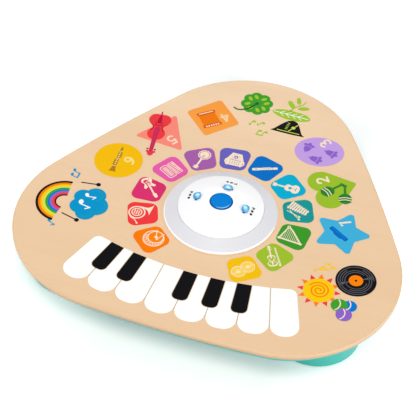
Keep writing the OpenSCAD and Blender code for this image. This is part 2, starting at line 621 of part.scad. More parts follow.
// closed tube through rings of points, all with the same number of sides
module swept(rings) {
    m = len(rings[0]);
    last = len(rings) - 1;
    polyhedron(points = [for (r = rings, p = r) p], faces = concat(
        [[for (i = [0:m - 1]) i]],
        [for (k = [0:last - 1], i = [0:m - 1]) let (j = (i + 1) % m)
            [k * m + i, (k + 1) * m + i, (k + 1) * m + j, k * m + j]],
        [[for (i = [m - 1:-1:0]) last * m + i]]));
}
module tact_switch() color([0.15, 0.15, 0.16]) at_centre() {
    translate([-3, -3, board_top]) cube([6, 6, tact_h]);
    translate([0, 0, board_top + tact_h]) cylinder(r = 1.7, h = tact_tip - board_top - tact_h);
}

// ---- slide knobs and their switches: [distance from the middle, direction] ----
left_spot = [side_knob_reach, 180];
back_spot = [back_knob_reach, 90];
right_spot = [side_knob_reach, 0];
knob_spots = [left_spot, back_spot, right_spot];
stem_l = 4;
stem_w = 2.6;
lever_l = 2.2;
lever_w = 1.4;
switch_h = 4;
lever_tip = board_top + switch_h + 3;
knob_crown_r = 24;                         // curvature of a knob's top
module knob(spot) color([0.47, 0.78, 0.92]) at_centre() rotate(spot[1]) difference() {
    tilt = asin(spot[0] / dome_sphere_r);
    base = dome_z(spot[0]);
    union() {
        translate([spot[0], 0, base]) rotate([0, tilt, 0]) translate([0, 0, slip]) intersection() {
            linear_extrude(knob_h) polygon(rounded(box_points(knob_w, knob_l), knob_w / 2 - 0.3, 8));
            translate([0, 0, knob_h - knob_crown_r]) sphere(r = knob_crown_r, $fn = 96);
        }
        translate([spot[0] - stem_w / 2, -stem_l / 2, lever_tip - 2.4]) cube([stem_w, stem_l, base - lever_tip + 4]);
    }
    translate([spot[0] - lever_w / 2 - 0.05, -lever_l / 2 - 0.05, lever_tip - 5])
        cube([lever_w + 0.1, lever_l + 0.1, 5]);
}
module left_slide_knob() knob(left_spot);
module back_slide_knob() knob(back_spot);
module right_slide_knob() knob(right_spot);
module lever(spot) color([0.12, 0.12, 0.13]) at_centre() rotate(spot[1])
    translate([spot[0] - lever_w / 2, -lever_l / 2, board_top + switch_h - lever_root])
        cube([lever_w, lever_l, lever_tip - board_top - switch_h + lever_root]);
module left_switch_lever() lever(left_spot);
module back_switch_lever() lever(back_spot);
module right_switch_lever() lever(right_spot);
switch_l = 2 * knob_travel + lever_l + 4;
switch_w = 4.8;
lever_root = 1;                            // how deep a lever reaches into its switch
module slide_switches() steel() at_centre() for (k = knob_spots) rotate(k[1]) difference() {
    translate([k[0] - switch_w / 2, -switch_l / 2, board_top]) cube([switch_w, switch_l, switch_h]);
    translate([k[0] - lever_w / 2 - slip, -knob_travel - lever_l / 2 - slip,
               board_top + switch_h - lever_root - slip])
        cube([lever_w + 2 * slip, 2 * knob_travel + lever_l + 2 * slip, 3]);
}

// ---- main board in the tray ----
sound_z = tray_in_z + standoff_h;
module at_standoffs() {
    for (x = [-1, 1], y = [-1, 1])
        translate([board_at.x + x * (board_w / 2 - 5), board_at.y + y * (board_l / 2 - 5), 0]) children();
}
module sound_board() green_board() difference() {
    translate([board_at.x, board_at.y, sound_z]) linear_extrude(board_t)
        polygon(rounded(box_points(board_w, board_l), 2));
    at_standoffs() translate([0, 0, sound_z - 1]) cylinder(r = 1.1, h = 4);
}
// the processor, the sound memory and the amplifier: width, length, height
main_chip_size = [16, 16, 1.6];
memory_chip_size = [8, 12, 1.4];
memory_chip_at = [20, 0];
power_chip_size = [9, 7, 1.4];
power_chip_at = [-22.5, 5.5];
socket_size = [8, 6, 5];                   // a socket for two wires
wide_socket_l = 12;                        // length of the socket for the play centre's wires
socket_x = 20;
socket_rim = 1;                            // from a socket to the board's edge
module middled(size) { translate([-size.x / 2, -size.y / 2, 0]) cube(size); }
module sound_chips() color([0.10, 0.10, 0.11]) translate([board_at.x, board_at.y, sound_z + board_t]) {
    middled(main_chip_size);
    translate(memory_chip_at) middled(memory_chip_size);
    translate(power_chip_at) middled(power_chip_size);
}
module wire_sockets() color([0.95, 0.94, 0.88]) translate([board_at.x, board_at.y, sound_z + board_t]) {
    for (s = [-1, 1]) translate([socket_x, s * (board_l / 2 - socket_rim - socket_size.y / 2), 0])
        middled(socket_size);
    translate([board_w / 2 - socket_rim - socket_size.y / 2, lead_y, 0])
        middled([socket_size.y, wide_socket_l, socket_size.z]);
}

// ---- touch boards glued under the wood ----
touch_z = wood_z - touch_t;
touch_rim = 5;                             // how far a touch board stays inside its printed field
tile_mid_angle = 86.3;                     // direction of the middle between tile 6 and tile 7
tile_step_angle = 360 / 14;
tile_leans = [0.4, -0.3, 0.4, -1.1, -1.2, -0.6, 0, 0, 0, -0.1, 0.2, 0.3];   // from even steps, degrees
function tile_angle(i) = tile_mid_angle - (i - 5.5) * tile_step_angle + tile_leans[i];
tile_board_in = tile_reach - tile_l / 2 + touch_rim - 2;
tile_board_out = tile_reach + tile_l / 2 - 2;
module copper_board() { color([0.75, 0.48, 0.25]) children(); }
module picture_touch_boards() copper_board() translate([0, centre_y, touch_z]) {
    linear_extrude(touch_t)
        polygon(concat(arc([0, 0], tile_board_out, tile_angle(11) - 9, tile_angle(0) + 9, 48),
                       arc([0, 0], tile_board_in, tile_angle(0) + 9, tile_angle(11) - 9, 48)));
    for (z = zone_spots) translate([z.x, z.y, 0]) cylinder(r = zone_board_r, h = touch_t);
}
module key_touch_board() copper_board() translate([0, centre_y, touch_z]) linear_extrude(touch_t)
    polygon(concat([for (s = [-4:4]) key_point(s * 0.97, -key_l / 2 + touch_rim)],
                   [for (s = [4:-1:-4]) key_point(s * 0.97, key_l / 2 - 2 * touch_rim)]));
zone_board_r = 18;
strip_w = 8;
strip_t = 0.3;
module touch_ribbons() color([0.90, 0.88, 0.80]) translate([0, centre_y, wood_z - strip_t]) {
    for (z = zone_spots) rotate(turn(z)) translate([tile_board_out, -strip_w / 2, 0]) difference() {
        cube([norm(z) - zone_board_r - tile_board_out + 2, strip_w, strip_t]);
        translate([norm(z) - tile_board_out, strip_w / 2, -1]) cylinder(r = zone_board_r, h = 2);
        translate([-tile_board_out, strip_w / 2, -1]) cylinder(r = tile_board_out, h = 2);
    }
}

// ---- wires held inside the tray ----
wire_r = 1.1;
function wire_ring(p, d) = let (u = unit(abs(d.z) < 0.9 ? [-d.y, d.x, 0] : [1, 0, 0]), v = unit(cross(d, u)))
    [for (i = [0:7]) p + wire_r * (cross(v, d) * cos(45 * i) + v * sin(45 * i))];
// rings along a cubic from a to b that leaves along da and arrives along db
function wire_run(a, da, b, db, n) = [for (k = [0:n]) let (t = k / n)
    wire_ring(a * (1 - t)^3 + (a + da) * 3 * t * (1 - t)^2 + (b - db) * 3 * t^2 * (1 - t) + b * t^3,
              unit(da * (1 - t)^2 + (b - db - a - da) * 2 * t * (1 - t) + db * t^2))];
socket_mid_z = sound_z + board_t + socket_size.z / 2;
lead_y = -4;                               // from the board's middle to the play centre's lead
lead_reach = 24;                           // how far that lead runs on before it bends
tub_hole_at = [polar(tub_r - 18, 200).x, centre_y + polar(tub_r - 18, 200).y];
module battery_lead() swept(wire_run(
    [-box_w / 2 - box_wall, box_y, box_top_z - 2.5], [-34, 0, 0],
    [board_at.x + socket_x, board_at.y - board_l / 2 + socket_rim, socket_mid_z], [0, 40, 0], 16));
lead_bend = 60;                            // how far the speaker's lead swings round the tub
module speaker_lead() swept(wire_run(
    [board_at.x + socket_x, board_at.y + board_l / 2 - socket_rim, socket_mid_z], [0, lead_bend, 0],
    [speaker_at.x, speaker_at.y + speaker_r * 0.46, speaker_z + 11.3], [0, -lead_bend, 0], 28));
module control_lead() {
    under_tub = [tub_hole_at.x, tub_hole_at.y, top_z - tub_depth - 0.5];
    swept(concat(
        wire_run([board_at.x + board_w / 2 - socket_rim, board_at.y + lead_y, socket_mid_z], [lead_reach, 0, 0],
                 under_tub, [0, 0, 7], 14),
        wire_run(under_tub + [0, 0, 3], [0, 0, 5],
                 [under_tub.x, under_tub.y, top_z + panel_board_z], [0, 0, 5], 2)));
}
module wires() color([0.80, 0.12, 0.12]) {
    battery_lead();
    speaker_lead();
    control_lead();
}

// ---- printed keyboard: each divider s runs from -4 to 4 across the keys ----
key_squeeze = 0.0026;                      // how much the outer keys narrow, as a share of the pitch
key_bow_r = 467;                           // radius of the keyboard's middle line
key_shift = -1.2;                          // the keyboard's middle, to the right of the play centre
// slant of each divider as a share of the outer edge's
key_slants = [[-4, -0.97], [-3, -0.7], [-2, -0.41], [-1, -0.12], [0, 0],
              [1, 0.18], [2, 0.42], [3, 0.83], [4, 1.04]];
function key_slope(s) = key_slant_angle * lookup(s, key_slants);
function key_mid(s) = let (x = key_pitch * (s - key_squeeze * pow(s, 3)))
    [x + key_shift, -key_reach + key_bow_r - sqrt(key_bow_r^2 - x^2)];
// point on divider s, a distance d towards the child from the middle line
function key_point(s, d, side = 0) = let (a = key_slope(s))
    key_mid(s) + d * [sin(a), -cos(a)] + side * [cos(a), sin(a)];
key_end_round = 15.5;
key_outer_round = 9;
module ink(points, layer = 0) {
    translate([0, centre_y, top_z + layer * ink_t]) linear_extrude(ink_t) polygon(points);
}
module white_key_prints() color([1, 1, 1]) for (s = [-4:3]) ink(rounded([
    key_point(s, -key_l / 2, key_gap / 2), key_point(s, key_l / 2, key_gap / 2),
    key_point(s + 1, key_l / 2, -key_gap / 2), key_point(s + 1, -key_l / 2, -key_gap / 2)],
    [s == -4 ? key_outer_round : 0, key_end_round, key_end_round, s == 3 ? key_outer_round : 0]));
// dividers that carry a black key, and how far to the right of its divider each stands
black_spots = [[-3, 0.6], [-2, 0.3], [0, -0.2], [1, -0.2], [2, -0.9]];
black_flare = 1;                           // how much wider a black key is at its near end, each side
black_end_round = 7;
black_root_round = 0.6;
module black_key_prints() color([0.10, 0.09, 0.12]) for (spot = black_spots) {
    s = spot[0];
    at = spot[1];
    root = black_w / 2;
    end = root + black_flare;
    ink(rounded([key_point(s, -key_l / 2, at - root), key_point(s, -key_l / 2 + black_l, at - end),
                 key_point(s, -key_l / 2 + black_l, at + end), key_point(s, -key_l / 2, at + root)],
                [black_root_round, black_end_round, black_end_round, black_root_round]), 1);
}

// ---- printed instrument tiles round the play centre, clockwise from the near left ----
tile_points = rounded([[-tile_inner_w / 2, -tile_l / 2], [tile_inner_w / 2, -tile_l / 2],
                       [tile_outer_w / 2, tile_l / 2], [-tile_outer_w / 2, tile_l / 2]], tile_round);
module tile(i) { ink(spin(shift(tile_points, [0, tile_reach]), tile_angle(i) - 90)); }
tile_nodes = ["tile_drum", "tile_horn", "tile_electric_guitar", "tile_accordion", "tile_banjo", "tile_organ",
              "tile_flute", "tile_guitar", "tile_xylophone", "tile_harp", "tile_violin", "tile_cymbals"];
tile_colors = [[1, 0.52, 0], [0.95, 0.27, 0.27], [0.91, 0.23, 0.45], [0.91, 0.39, 0.68], [0.64, 0.37, 0.68],
               [0.43, 0.39, 0.78], [0, 0.44, 0.78], [0, 0.70, 0.86], [0.08, 0.59, 0.61], [0.25, 0.62, 0.16],
               [0.59, 0.78, 0.20], [0.98, 0.77, 0.04]];

// ---- printed zones in the room that the tiles leave: square, triangle, circle, oval, heart, star ----
// distance from the play centre to the wood's edge in direction a
function edge_reach(a) = let (u = polar(1, a), o = [for (p = outline(0)) p - [0, centre_y]], n = len(o))
    max([for (i = [0:n - 1]) let (p = o[i], q = o[(i + 1) % n])
        cross(u, p) <= 0 && cross(u, q) > 0 ? cross(p, q - p) / cross(u, q - p) : 0]);
tiles_end = tile_reach + tile_l / 2;
zone_gap = 2;                              // least distance between a zone and the tiles
// middle of a zone that is r deep to each side, and stands back by a share of the room it leaves
function zone_at(a, r, share) =
    polar(tiles_end + zone_gap + r + share * (edge_reach(a) - tiles_end - 2 * r), a);
square_side = 50.5;
square_round = 4;
triangle_round = 2.5;
star_round = 4;
triangle_r = 38;
circle_r = 30.5;
oval_size = [31.5, 26];
heart_lobe = 17.6;                         // radius of a lobe of the heart
heart_spread = 14.8;                       // from the heart's axis to a lobe's middle
heart_tip_r = 3;
heart_l = 37;                              // from the lobes' line to the tip's middle
heart_turn = 126.5;
star_r = 38.5;
star_waist = 0.54;                         // radius of the star's inner corners, as a share
square_at = zone_at(112.1, square_side * 0.66, 0.373);
triangle_at = zone_at(136.4, triangle_r * 0.74, 0.33);
circle_at = zone_at(164.7, circle_r, 0.28);
oval_at = zone_at(60.4, oval_size.y, 0.44);
heart_at = zone_at(37.3, heart_lobe, 0.084);
star_at = zone_at(7.5, star_r * 0.88, 0);
zone_spots = [square_at, triangle_at, circle_at, oval_at, heart_at, star_at];
function ellipse_points(a, b, n) = [for (i = [0:n - 1]) [a * cos(360 * i / n), b * sin(360 * i / n)]];
module zone_square() color([1, 0.65, 0.27])
    ink(shift(spin(rounded(box_points(square_side, square_side), square_round), 47), square_at));
module zone_triangle() color([1, 0.59, 0.51])
    ink(shift(spin(rounded([for (a = [90, 210, 330]) polar(triangle_r, a)], triangle_round), -4), triangle_at));
module zone_circle() color([0.98, 0.77, 0.04])
    translate([circle_at.x, circle_at.y + centre_y, top_z]) cylinder(r = circle_r, h = ink_t, $fn = 96);
module zone_oval() color([0.77, 0.63, 0.92])
    ink(shift(spin(ellipse_points(oval_size.x, oval_size.y, 48), 15), oval_at));
// two lobes joined to a rounded tip by straight flanks
heart_flank = turn([-heart_spread, -heart_l])
    + acos((heart_lobe - heart_tip_r) / norm([heart_spread, heart_l]));
heart_notch = acos(-heart_spread / heart_lobe);
heart_points = concat(
    arc([heart_spread, 0], heart_lobe, heart_flank, heart_notch, 20),
    arc([-heart_spread, 0], heart_lobe, 180 - heart_notch, 180 - heart_flank, 20),
    arc([0, -heart_l], heart_tip_r, 180 - heart_flank, 360 + heart_flank, 6));
module zone_heart() color([0.62, 0.80, 0.20]) ink(shift(spin(heart_points, heart_turn), heart_at));
star_points = rounded([for (i = [0:9]) polar(i % 2 == 0 ? star_r : star_r * star_waist, 90 + 36 * i)],
                      [for (i = [0:9]) i % 2 == 0 ? star_round : star_round * 0.5], 5);
module zone_star() color([0.27, 0.72, 0.88]) ink(shift(spin(star_points, -7), star_at));

top_panel();
base_shell();
foot_left();
foot_right();
foot_back();
foot_pads();
case_screws();
battery_door();
battery_cells();
battery_contacts();
speaker_frame();
speaker_cone();
speaker_magnet();
speaker_clamps();
control_tub();
tub_screws();
light_ring();
dome_cover();
cover_screws();
control_board();
board_screws();
led_board();
leds();
push_button();
button_spring();
tact_switch();
left_slide_knob();
back_slide_knob();
right_slide_knob();
left_switch_lever();
back_switch_lever();
right_switch_lever();
slide_switches();
sound_board();
sound_chips();
wire_sockets();
wires();
picture_touch_boards();
key_touch_board();
touch_ribbons();
white_key_prints();
black_key_prints();
zone_square();
zone_triangle();
zone_circle();
zone_oval();
zone_heart();
zone_star();
for (i = [0:11]) color(tile_colors[i]) tile(i);
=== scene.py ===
import json
import math

import bmesh
import bpy
from mathutils import Matrix, Vector
from mathutils.bvhtree import BVHTree
from mathutils.geometry import convex_hull_2d, delaunay_2d_cdt


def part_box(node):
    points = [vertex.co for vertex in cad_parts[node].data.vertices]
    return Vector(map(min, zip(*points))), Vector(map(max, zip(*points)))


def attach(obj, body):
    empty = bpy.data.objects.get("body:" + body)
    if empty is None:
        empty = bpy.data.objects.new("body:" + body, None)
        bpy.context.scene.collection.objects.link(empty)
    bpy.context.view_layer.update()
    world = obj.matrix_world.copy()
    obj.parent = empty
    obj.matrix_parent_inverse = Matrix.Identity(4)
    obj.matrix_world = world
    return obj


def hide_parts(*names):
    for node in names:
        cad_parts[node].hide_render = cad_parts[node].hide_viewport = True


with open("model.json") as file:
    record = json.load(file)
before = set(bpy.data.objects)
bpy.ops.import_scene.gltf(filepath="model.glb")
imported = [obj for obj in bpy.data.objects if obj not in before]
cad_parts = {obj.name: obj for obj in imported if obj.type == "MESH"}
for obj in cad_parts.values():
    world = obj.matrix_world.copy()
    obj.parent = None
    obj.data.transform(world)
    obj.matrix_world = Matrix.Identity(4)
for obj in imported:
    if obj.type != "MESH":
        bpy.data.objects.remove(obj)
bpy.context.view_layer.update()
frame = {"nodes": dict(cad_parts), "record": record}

nodes = frame["nodes"]
mm = 0.001
tableBody = "table"
print("frame loaded:", len(nodes), "nodes")


def addObject(name, data):
    made = bpy.data.objects.new(name, data)
    bpy.context.scene.collection.objects.link(made)
    return made


cameraSet = {
    "target": (-0.01708, -0.02456, 0.055),
    "azimuth": 17.2,       # degrees round from the front, towards +X
    "elevation": 46.02,
    "distance": 2.1682,
    "roll": 2.62,
    "lens": 152.96,
}


def makeCamera(values):
    turn, rise = math.radians(values["azimuth"]), math.radians(values["elevation"])
    back = Vector((math.sin(turn) * math.cos(rise), -math.cos(turn) * math.cos(rise), math.sin(rise)))
    right = (-back).cross(Vector((0, 0, 1))).normalized()
    up = right.cross(-back).normalized()
    roll = math.radians(values["roll"])
    rolledRight = math.cos(roll) * right + math.sin(roll) * up
    rolledUp = math.cos(roll) * up - math.sin(roll) * right
    lens = bpy.data.cameras.new("camera")
    lens.lens = values["lens"]
    lens.sensor_width = 36
    lens.clip_start = 0.05
    lens.clip_end = 30
    camera = addObject("camera", lens)
    axes = Matrix((rolledRight, rolledUp, back)).transposed().to_4x4()
    camera.matrix_world = Matrix.Translation(Vector(values["target"]) + back * values["distance"]) @ axes
    bpy.context.scene.camera = camera


makeCamera(cameraSet)


def feed(tree, socket, term):
    # a socket is linked, a plain value is set
    if isinstance(term, bpy.types.NodeSocket):
        tree.links.new(term, socket)
    else:
        socket.default_value = term


def setInputs(tree, node, **values):
    # values are named after the node's inputs, with _ for a space
    for name, value in values.items():
        feed(tree, node.inputs[name.replace("_", " ")], value)


def addNode(tree, kind, *terms, **values):
    # terms fill the inputs in their order, values by name
    made = tree.nodes.new("ShaderNode" + kind)
    for socket, term in zip(made.inputs, terms):
        feed(tree, socket, term)
    setInputs(tree, made, **values)
    return made


def calc(tree, operation, *terms):
    made = addNode(tree, "Math", *terms)
    made.operation = operation
    return made.outputs[0]


def calcVector(tree, operation, *terms):
    made = addNode(tree, "VectorMath", *terms)
    made.operation = operation
    return made.outputs


def spread(tree, value, low, high, newLow=0.0, newHigh=1.0):
    return addNode(tree, "MapRange", Value=value, From_Min=low, From_Max=high, To_Min=newLow,
                   To_Max=newHigh).outputs[0]


def mixColor(tree, factor, first, second):
    made = tree.nodes.new("ShaderNodeMix")
    made.data_type = "RGBA"
    for place, term in ((0, factor), (6, first), (7, second)):
        feed(tree, made.inputs[place], term)
    return made.outputs[2]


def splitPlace(tree):
    # X, Y and Z in the object's own space
    place = addNode(tree, "TexCoord").outputs["Object"]
    return addNode(tree, "SeparateXYZ", place).outputs


def levelness(tree):
    # 1 on a level face, 0 on an upright wall
    facing = addNode(tree, "NewGeometry").outputs["Normal"]
    return calc(tree, "ABSOLUTE", addNode(tree, "SeparateXYZ", facing).outputs[2])


def seenRays(tree):
    # 1 for the rays that see the backdrop itself: camera, glossy and transmission rays
    path = addNode(tree, "LightPath").outputs
    mirrored = calc(tree, "MAXIMUM", path["Is Glossy Ray"], path["Is Transmission Ray"])
    return calc(tree, "MAXIMUM", path["Is Camera Ray"], mirrored)


def srgb(color):
    # a colour given as 0 to 255 on a screen, as linear light
    linear = (((c / 255 + 0.055) / 1.055) ** 2.4 if c > 10 else c / 255 / 12.92 for c in color)
    return (*linear, 1.0)


worldLight = 0.46      # plain soft light from all round
lampAim = Vector((0, 0, 0.05))
lamps = {              # place in metres, size in metres, power in watts
    "main lamp": ((0.05, -0.95, 2.0), (0.9, 0.9), 11.8),
    "back lamp": ((-0.6, 2.25, 1.95), (1.9, 0.7), 14.5),
    "left lamp": ((-1.6, -0.7, 1.05), (1.2, 1.0), 10),
    "right lamp": ((1.8, -0.9, 0.85), (0.6, 0.6), 16.5),
}


def makeLamp(name, place, size, power):
    lamp = bpy.data.lights.new(name, "AREA")
    lamp.shape = "ELLIPSE"
    lamp.size, lamp.size_y = size
    lamp.energy = power
    holder = addObject(name, lamp)
    holder.location = place
    holder.rotation_euler = (lampAim - Vector(place)).to_track_quat("-Z", "Y").to_euler()


def makeLight():
    world = bpy.data.worlds.new("studio")
    world.use_nodes = True
    bpy.context.scene.world = world
    tree = world.node_tree
    tree.nodes.clear()
    soft, white = (addNode(tree, "Background", (1, 1, 1, 1), strength).outputs[0]
                   for strength in (worldLight, 1.0))
    seen = addNode(tree, "MixShader", seenRays(tree), soft, white)
    addNode(tree, "OutputWorld", seen.outputs[0])
    for name, (place, size, power) in lamps.items():
        makeLamp(name, place, size, power)


makeLight()
print("camera and light made")


def newGroup(name, inputs, outputs):
    tree = bpy.data.node_groups.new(name, "ShaderNodeTree")
    for label, kind, value in inputs:
        socket = tree.interface.new_socket(label, in_out="INPUT", socket_type=kind)
        socket.default_value = value
    for label, kind in outputs:
        tree.interface.new_socket(label, in_out="OUTPUT", socket_type=kind)
    return tree, tree.nodes.new("NodeGroupInput").outputs, tree.nodes.new("NodeGroupOutput")


def useGroup(tree, group, **values):
    made = tree.nodes.new("ShaderNodeGroup")
    made.node_tree = group
    setInputs(tree, made, **values)
    return made.outputs


def stretchedNoise(tree, scale, detail, rough=0.5):
    # noise in the object's own space, scaled apart along X, Y and Z
    place = addNode(tree, "TexCoord").outputs["Object"]
    scaled = addNode(tree, "Mapping", place, Scale=scale).outputs[0]
    return addNode(tree, "TexNoise", scaled, Scale=1.0, Detail=detail, Roughness=rough).outputs[0]


def buildWoodGrain():
    # long fibres along X with faint growth bands
    tree, given, result = newGroup(
        "wood grain",
        [("Pale", "NodeSocketColor", (1, 1, 1, 1)), ("Dark", "NodeSocketColor", (0, 0, 0, 1)),
         ("Strength", "NodeSocketFloat", 1.0)],
        [("Color", "NodeSocketColor"), ("Height", "NodeSocketFloat"), ("Band", "NodeSocketFloat")])
    bands = spread(tree, stretchedNoise(tree, (2.2, 16, 60), 4), 0.32, 0.68)
    fibres = spread(tree, stretchedNoise(tree, (14, 420, 900), 5, 0.6), 0.3, 0.7)
    pores = spread(tree, stretchedNoise(tree, (60, 1500, 1500), 2), 0.62, 0.74)
    tone = calc(tree, "ADD", calc(tree, "MULTIPLY", bands, 0.55), calc(tree, "MULTIPLY", fibres, 0.45))
    color = mixColor(tree, calc(tree, "MULTIPLY", tone, given["Strength"]), given["Pale"], given["Dark"])
    deeper = mixColor(tree, calc(tree, "MULTIPLY", pores, 0.18), color, given["Dark"])
    height = calc(tree, "SUBTRACT", calc(tree, "MULTIPLY", fibres, 0.6), calc(tree, "MULTIPLY", pores, 0.7))
    setInputs(tree, result, Color=deeper, Height=height, Band=bands)
    return tree


def buildMouldSkin():
    # the fine even grain of a mould, with faint cloudy patches
    tree, given, result = newGroup(
        "mould skin",
        [("Base", "NodeSocketColor", (1, 1, 1, 1)), ("Tint", "NodeSocketColor", (0, 0, 0, 1)),
         ("Cloud", "NodeSocketFloat", 0.2), ("Rough Low", "NodeSocketFloat", 0.3),
         ("Rough High", "NodeSocketFloat", 0.4)],
        [("Color", "NodeSocketColor"), ("Roughness", "NodeSocketFloat"), ("Height", "NodeSocketFloat")])
    cloud = spread(tree, stretchedNoise(tree, (28, 28, 28), 4), 0.3, 0.7)
    color = mixColor(tree, calc(tree, "MULTIPLY", cloud, given["Cloud"]), given["Base"], given["Tint"])
    reach = calc(tree, "SUBTRACT", given["Rough High"], given["Rough Low"])
    rough = calc(tree, "ADD", given["Rough Low"], calc(tree, "MULTIPLY", cloud, reach))
    setInputs(tree, result, Color=color, Roughness=rough, Height=stretchedNoise(tree, (2400, 2400, 2400), 2))
    return tree


woodGrain = buildWoodGrain()
mouldSkin = buildMouldSkin()


def newMaterial(name):
    made = bpy.data.materials.new(name)
    made.use_nodes = True
    tree = made.node_tree
    return made, tree, tree.nodes["Principled BSDF"]


def bump(tree, height, distance):
    return addNode(tree, "Bump", Height=height, Distance=distance).outputs[0]


woodSet = {
    "pale": (227, 191, 148),
    "dark": (214, 172, 126),
    "strength": 0.42,      # of the grain on the face
    "edgePale": (232, 194, 153),
    "edgeDark": (220, 180, 138),
    "edgeStrength": 0.7,
    "edgeRed": (190, 142, 108),
    "edgeTop": 0.0535,     # heights between which the edge grows darker and redder, metres
    "edgeLow": 0.0475,
    "plyHeight": 1.5,      # thickness of one layer, mm
    "roughness": 0.34,
    "shine": 0.7,
    "grainDepth": 0.00004,
}


def woodMaterial(values):
    made, tree, shader = newMaterial("lacquered plywood")
    face = useGroup(tree, woodGrain, Pale=srgb(values["pale"]), Dark=srgb(values["dark"]),
                    Strength=values["strength"])
    edge = useGroup(tree, woodGrain, Pale=srgb(values["edgePale"]), Dark=srgb(values["edgeDark"]),
                    Strength=values["edgeStrength"])
    high = splitPlace(tree)[2]
    layer = calc(tree, "FRACT", calc(tree, "DIVIDE", high, values["plyHeight"] * mm))
    glueLine = spread(tree, calc(tree, "ABSOLUTE", calc(tree, "SUBTRACT", layer, 0.5)), 0.36, 0.5)
    layered = mixColor(tree, calc(tree, "MULTIPLY", glueLine, 0.3), edge["Color"], srgb(values["edgeDark"]))
    lower = spread(tree, high, values["edgeTop"], values["edgeLow"])
    edged = mixColor(tree, calc(tree, "POWER", lower, 1.5), layered, srgb(values["edgeRed"]))
    level = spread(tree, levelness(tree), 0.55, 0.9)
    setInputs(tree, shader, Base_Color=mixColor(tree, level, edged, face["Color"]),
              Roughness=calc(tree, "ADD", values["roughness"], calc(tree, "MULTIPLY", face["Band"], 0.06)),
              Specular_IOR_Level=values["shine"], Normal=bump(tree, face["Height"], values["grainDepth"]))
    return made


def rimMasks(tree, bands):
    # the mask and tone of each band of painted shade and painted highlight round a piece's own middle, from
    # first to last in half widths; a band may keep to one side, given by a turn in degrees and where the band
    # begins that way
    middle = (1, 1, 0)
    place = addNode(tree, "TexCoord").outputs["Generated"]
    level = addNode(tree, "Mapping", place, Scale=(2, 2, 0)).outputs[0]
    distance = calcVector(tree, "DISTANCE", level, middle)["Value"]
    for first, last, tone, *side in bands:
        away = calc(tree, "ABSOLUTE", calc(tree, "SUBTRACT", distance, (first + last) / 2))
        mask = spread(tree, away, (last - first) * 0.35, (last - first) * 0.6, 1, 0)
        if side:
            turn, start = math.radians(side[0]), side[1]
            offset = calcVector(tree, "SUBTRACT", level, middle)["Vector"]
            along = calcVector(tree, "DOT_PRODUCT", offset, (math.cos(turn), math.sin(turn), 0))["Value"]
            mask = calc(tree, "MULTIPLY", mask, spread(tree, along, start - 0.15, start + 0.15))
        yield mask, tone


def plasticMaterial(name, values):
    made, tree, shader = newMaterial(name)
    skin = useGroup(tree, mouldSkin, Base=srgb(values["color"]), Tint=srgb(values["tint"]), Cloud=0.35,
                    Rough_Low=values["rough"][0], Rough_High=values["rough"][1])
    color = skin["Color"]
    if "side" in values:      # upright walls get their own colour of painted light and painted shade
        color = mixColor(tree, spread(tree, levelness(tree), *values["steep"]), srgb(values["side"]), color)
    # bands of painted shade and painted highlight round the piece's middle
    if "rim" in values:
        for mask, tone in rimMasks(tree, values["rim"]):
            color = mixColor(tree, mask, color, srgb(tone))
    setInputs(tree, shader, Base_Color=color, Roughness=skin["Roughness"], Metallic=values.get("metal", 0.0),
              Specular_IOR_Level=values.get("shine", 0.5), Coat_Weight=values.get("coat", 0.0),
              Coat_Roughness=0.12, Normal=bump(tree, skin["Height"], values.get("depth", 0.00002)))
    return made


inkSet = {
    "full": 0.985,         # share of the colour where the ink is whole
    "pale": 236,           # what the worn parts go towards, and how far
    "fade": 0.035,
    "strength": 0.5,       # of the wood's grain in the ink
    "roughness": 0.45,
    "shine": 0.03,
    "grainDepth": 0.00002,
}


def inkMaterial(name, color, values=inkSet):
    # opaque ink pressed on the wood: its grain shows through as a faint relief and mottle
    made, tree, shader = newMaterial("ink " + name)
    full = srgb([c * values["full"] for c in color])
    worn = srgb([c + (values["pale"] - c) * values["fade"] * c / 255 for c in color])
    grain = useGroup(tree, woodGrain, Pale=full, Dark=worn, Strength=values["strength"])
    setInputs(tree, shader, Base_Color=grain["Color"], Specular_IOR_Level=values["shine"],
              Roughness=calc(tree, "ADD", values["roughness"], calc(tree, "MULTIPLY", grain["Band"], 0.1)),
              Normal=bump(tree, grain["Height"], values["grainDepth"]))
    return made
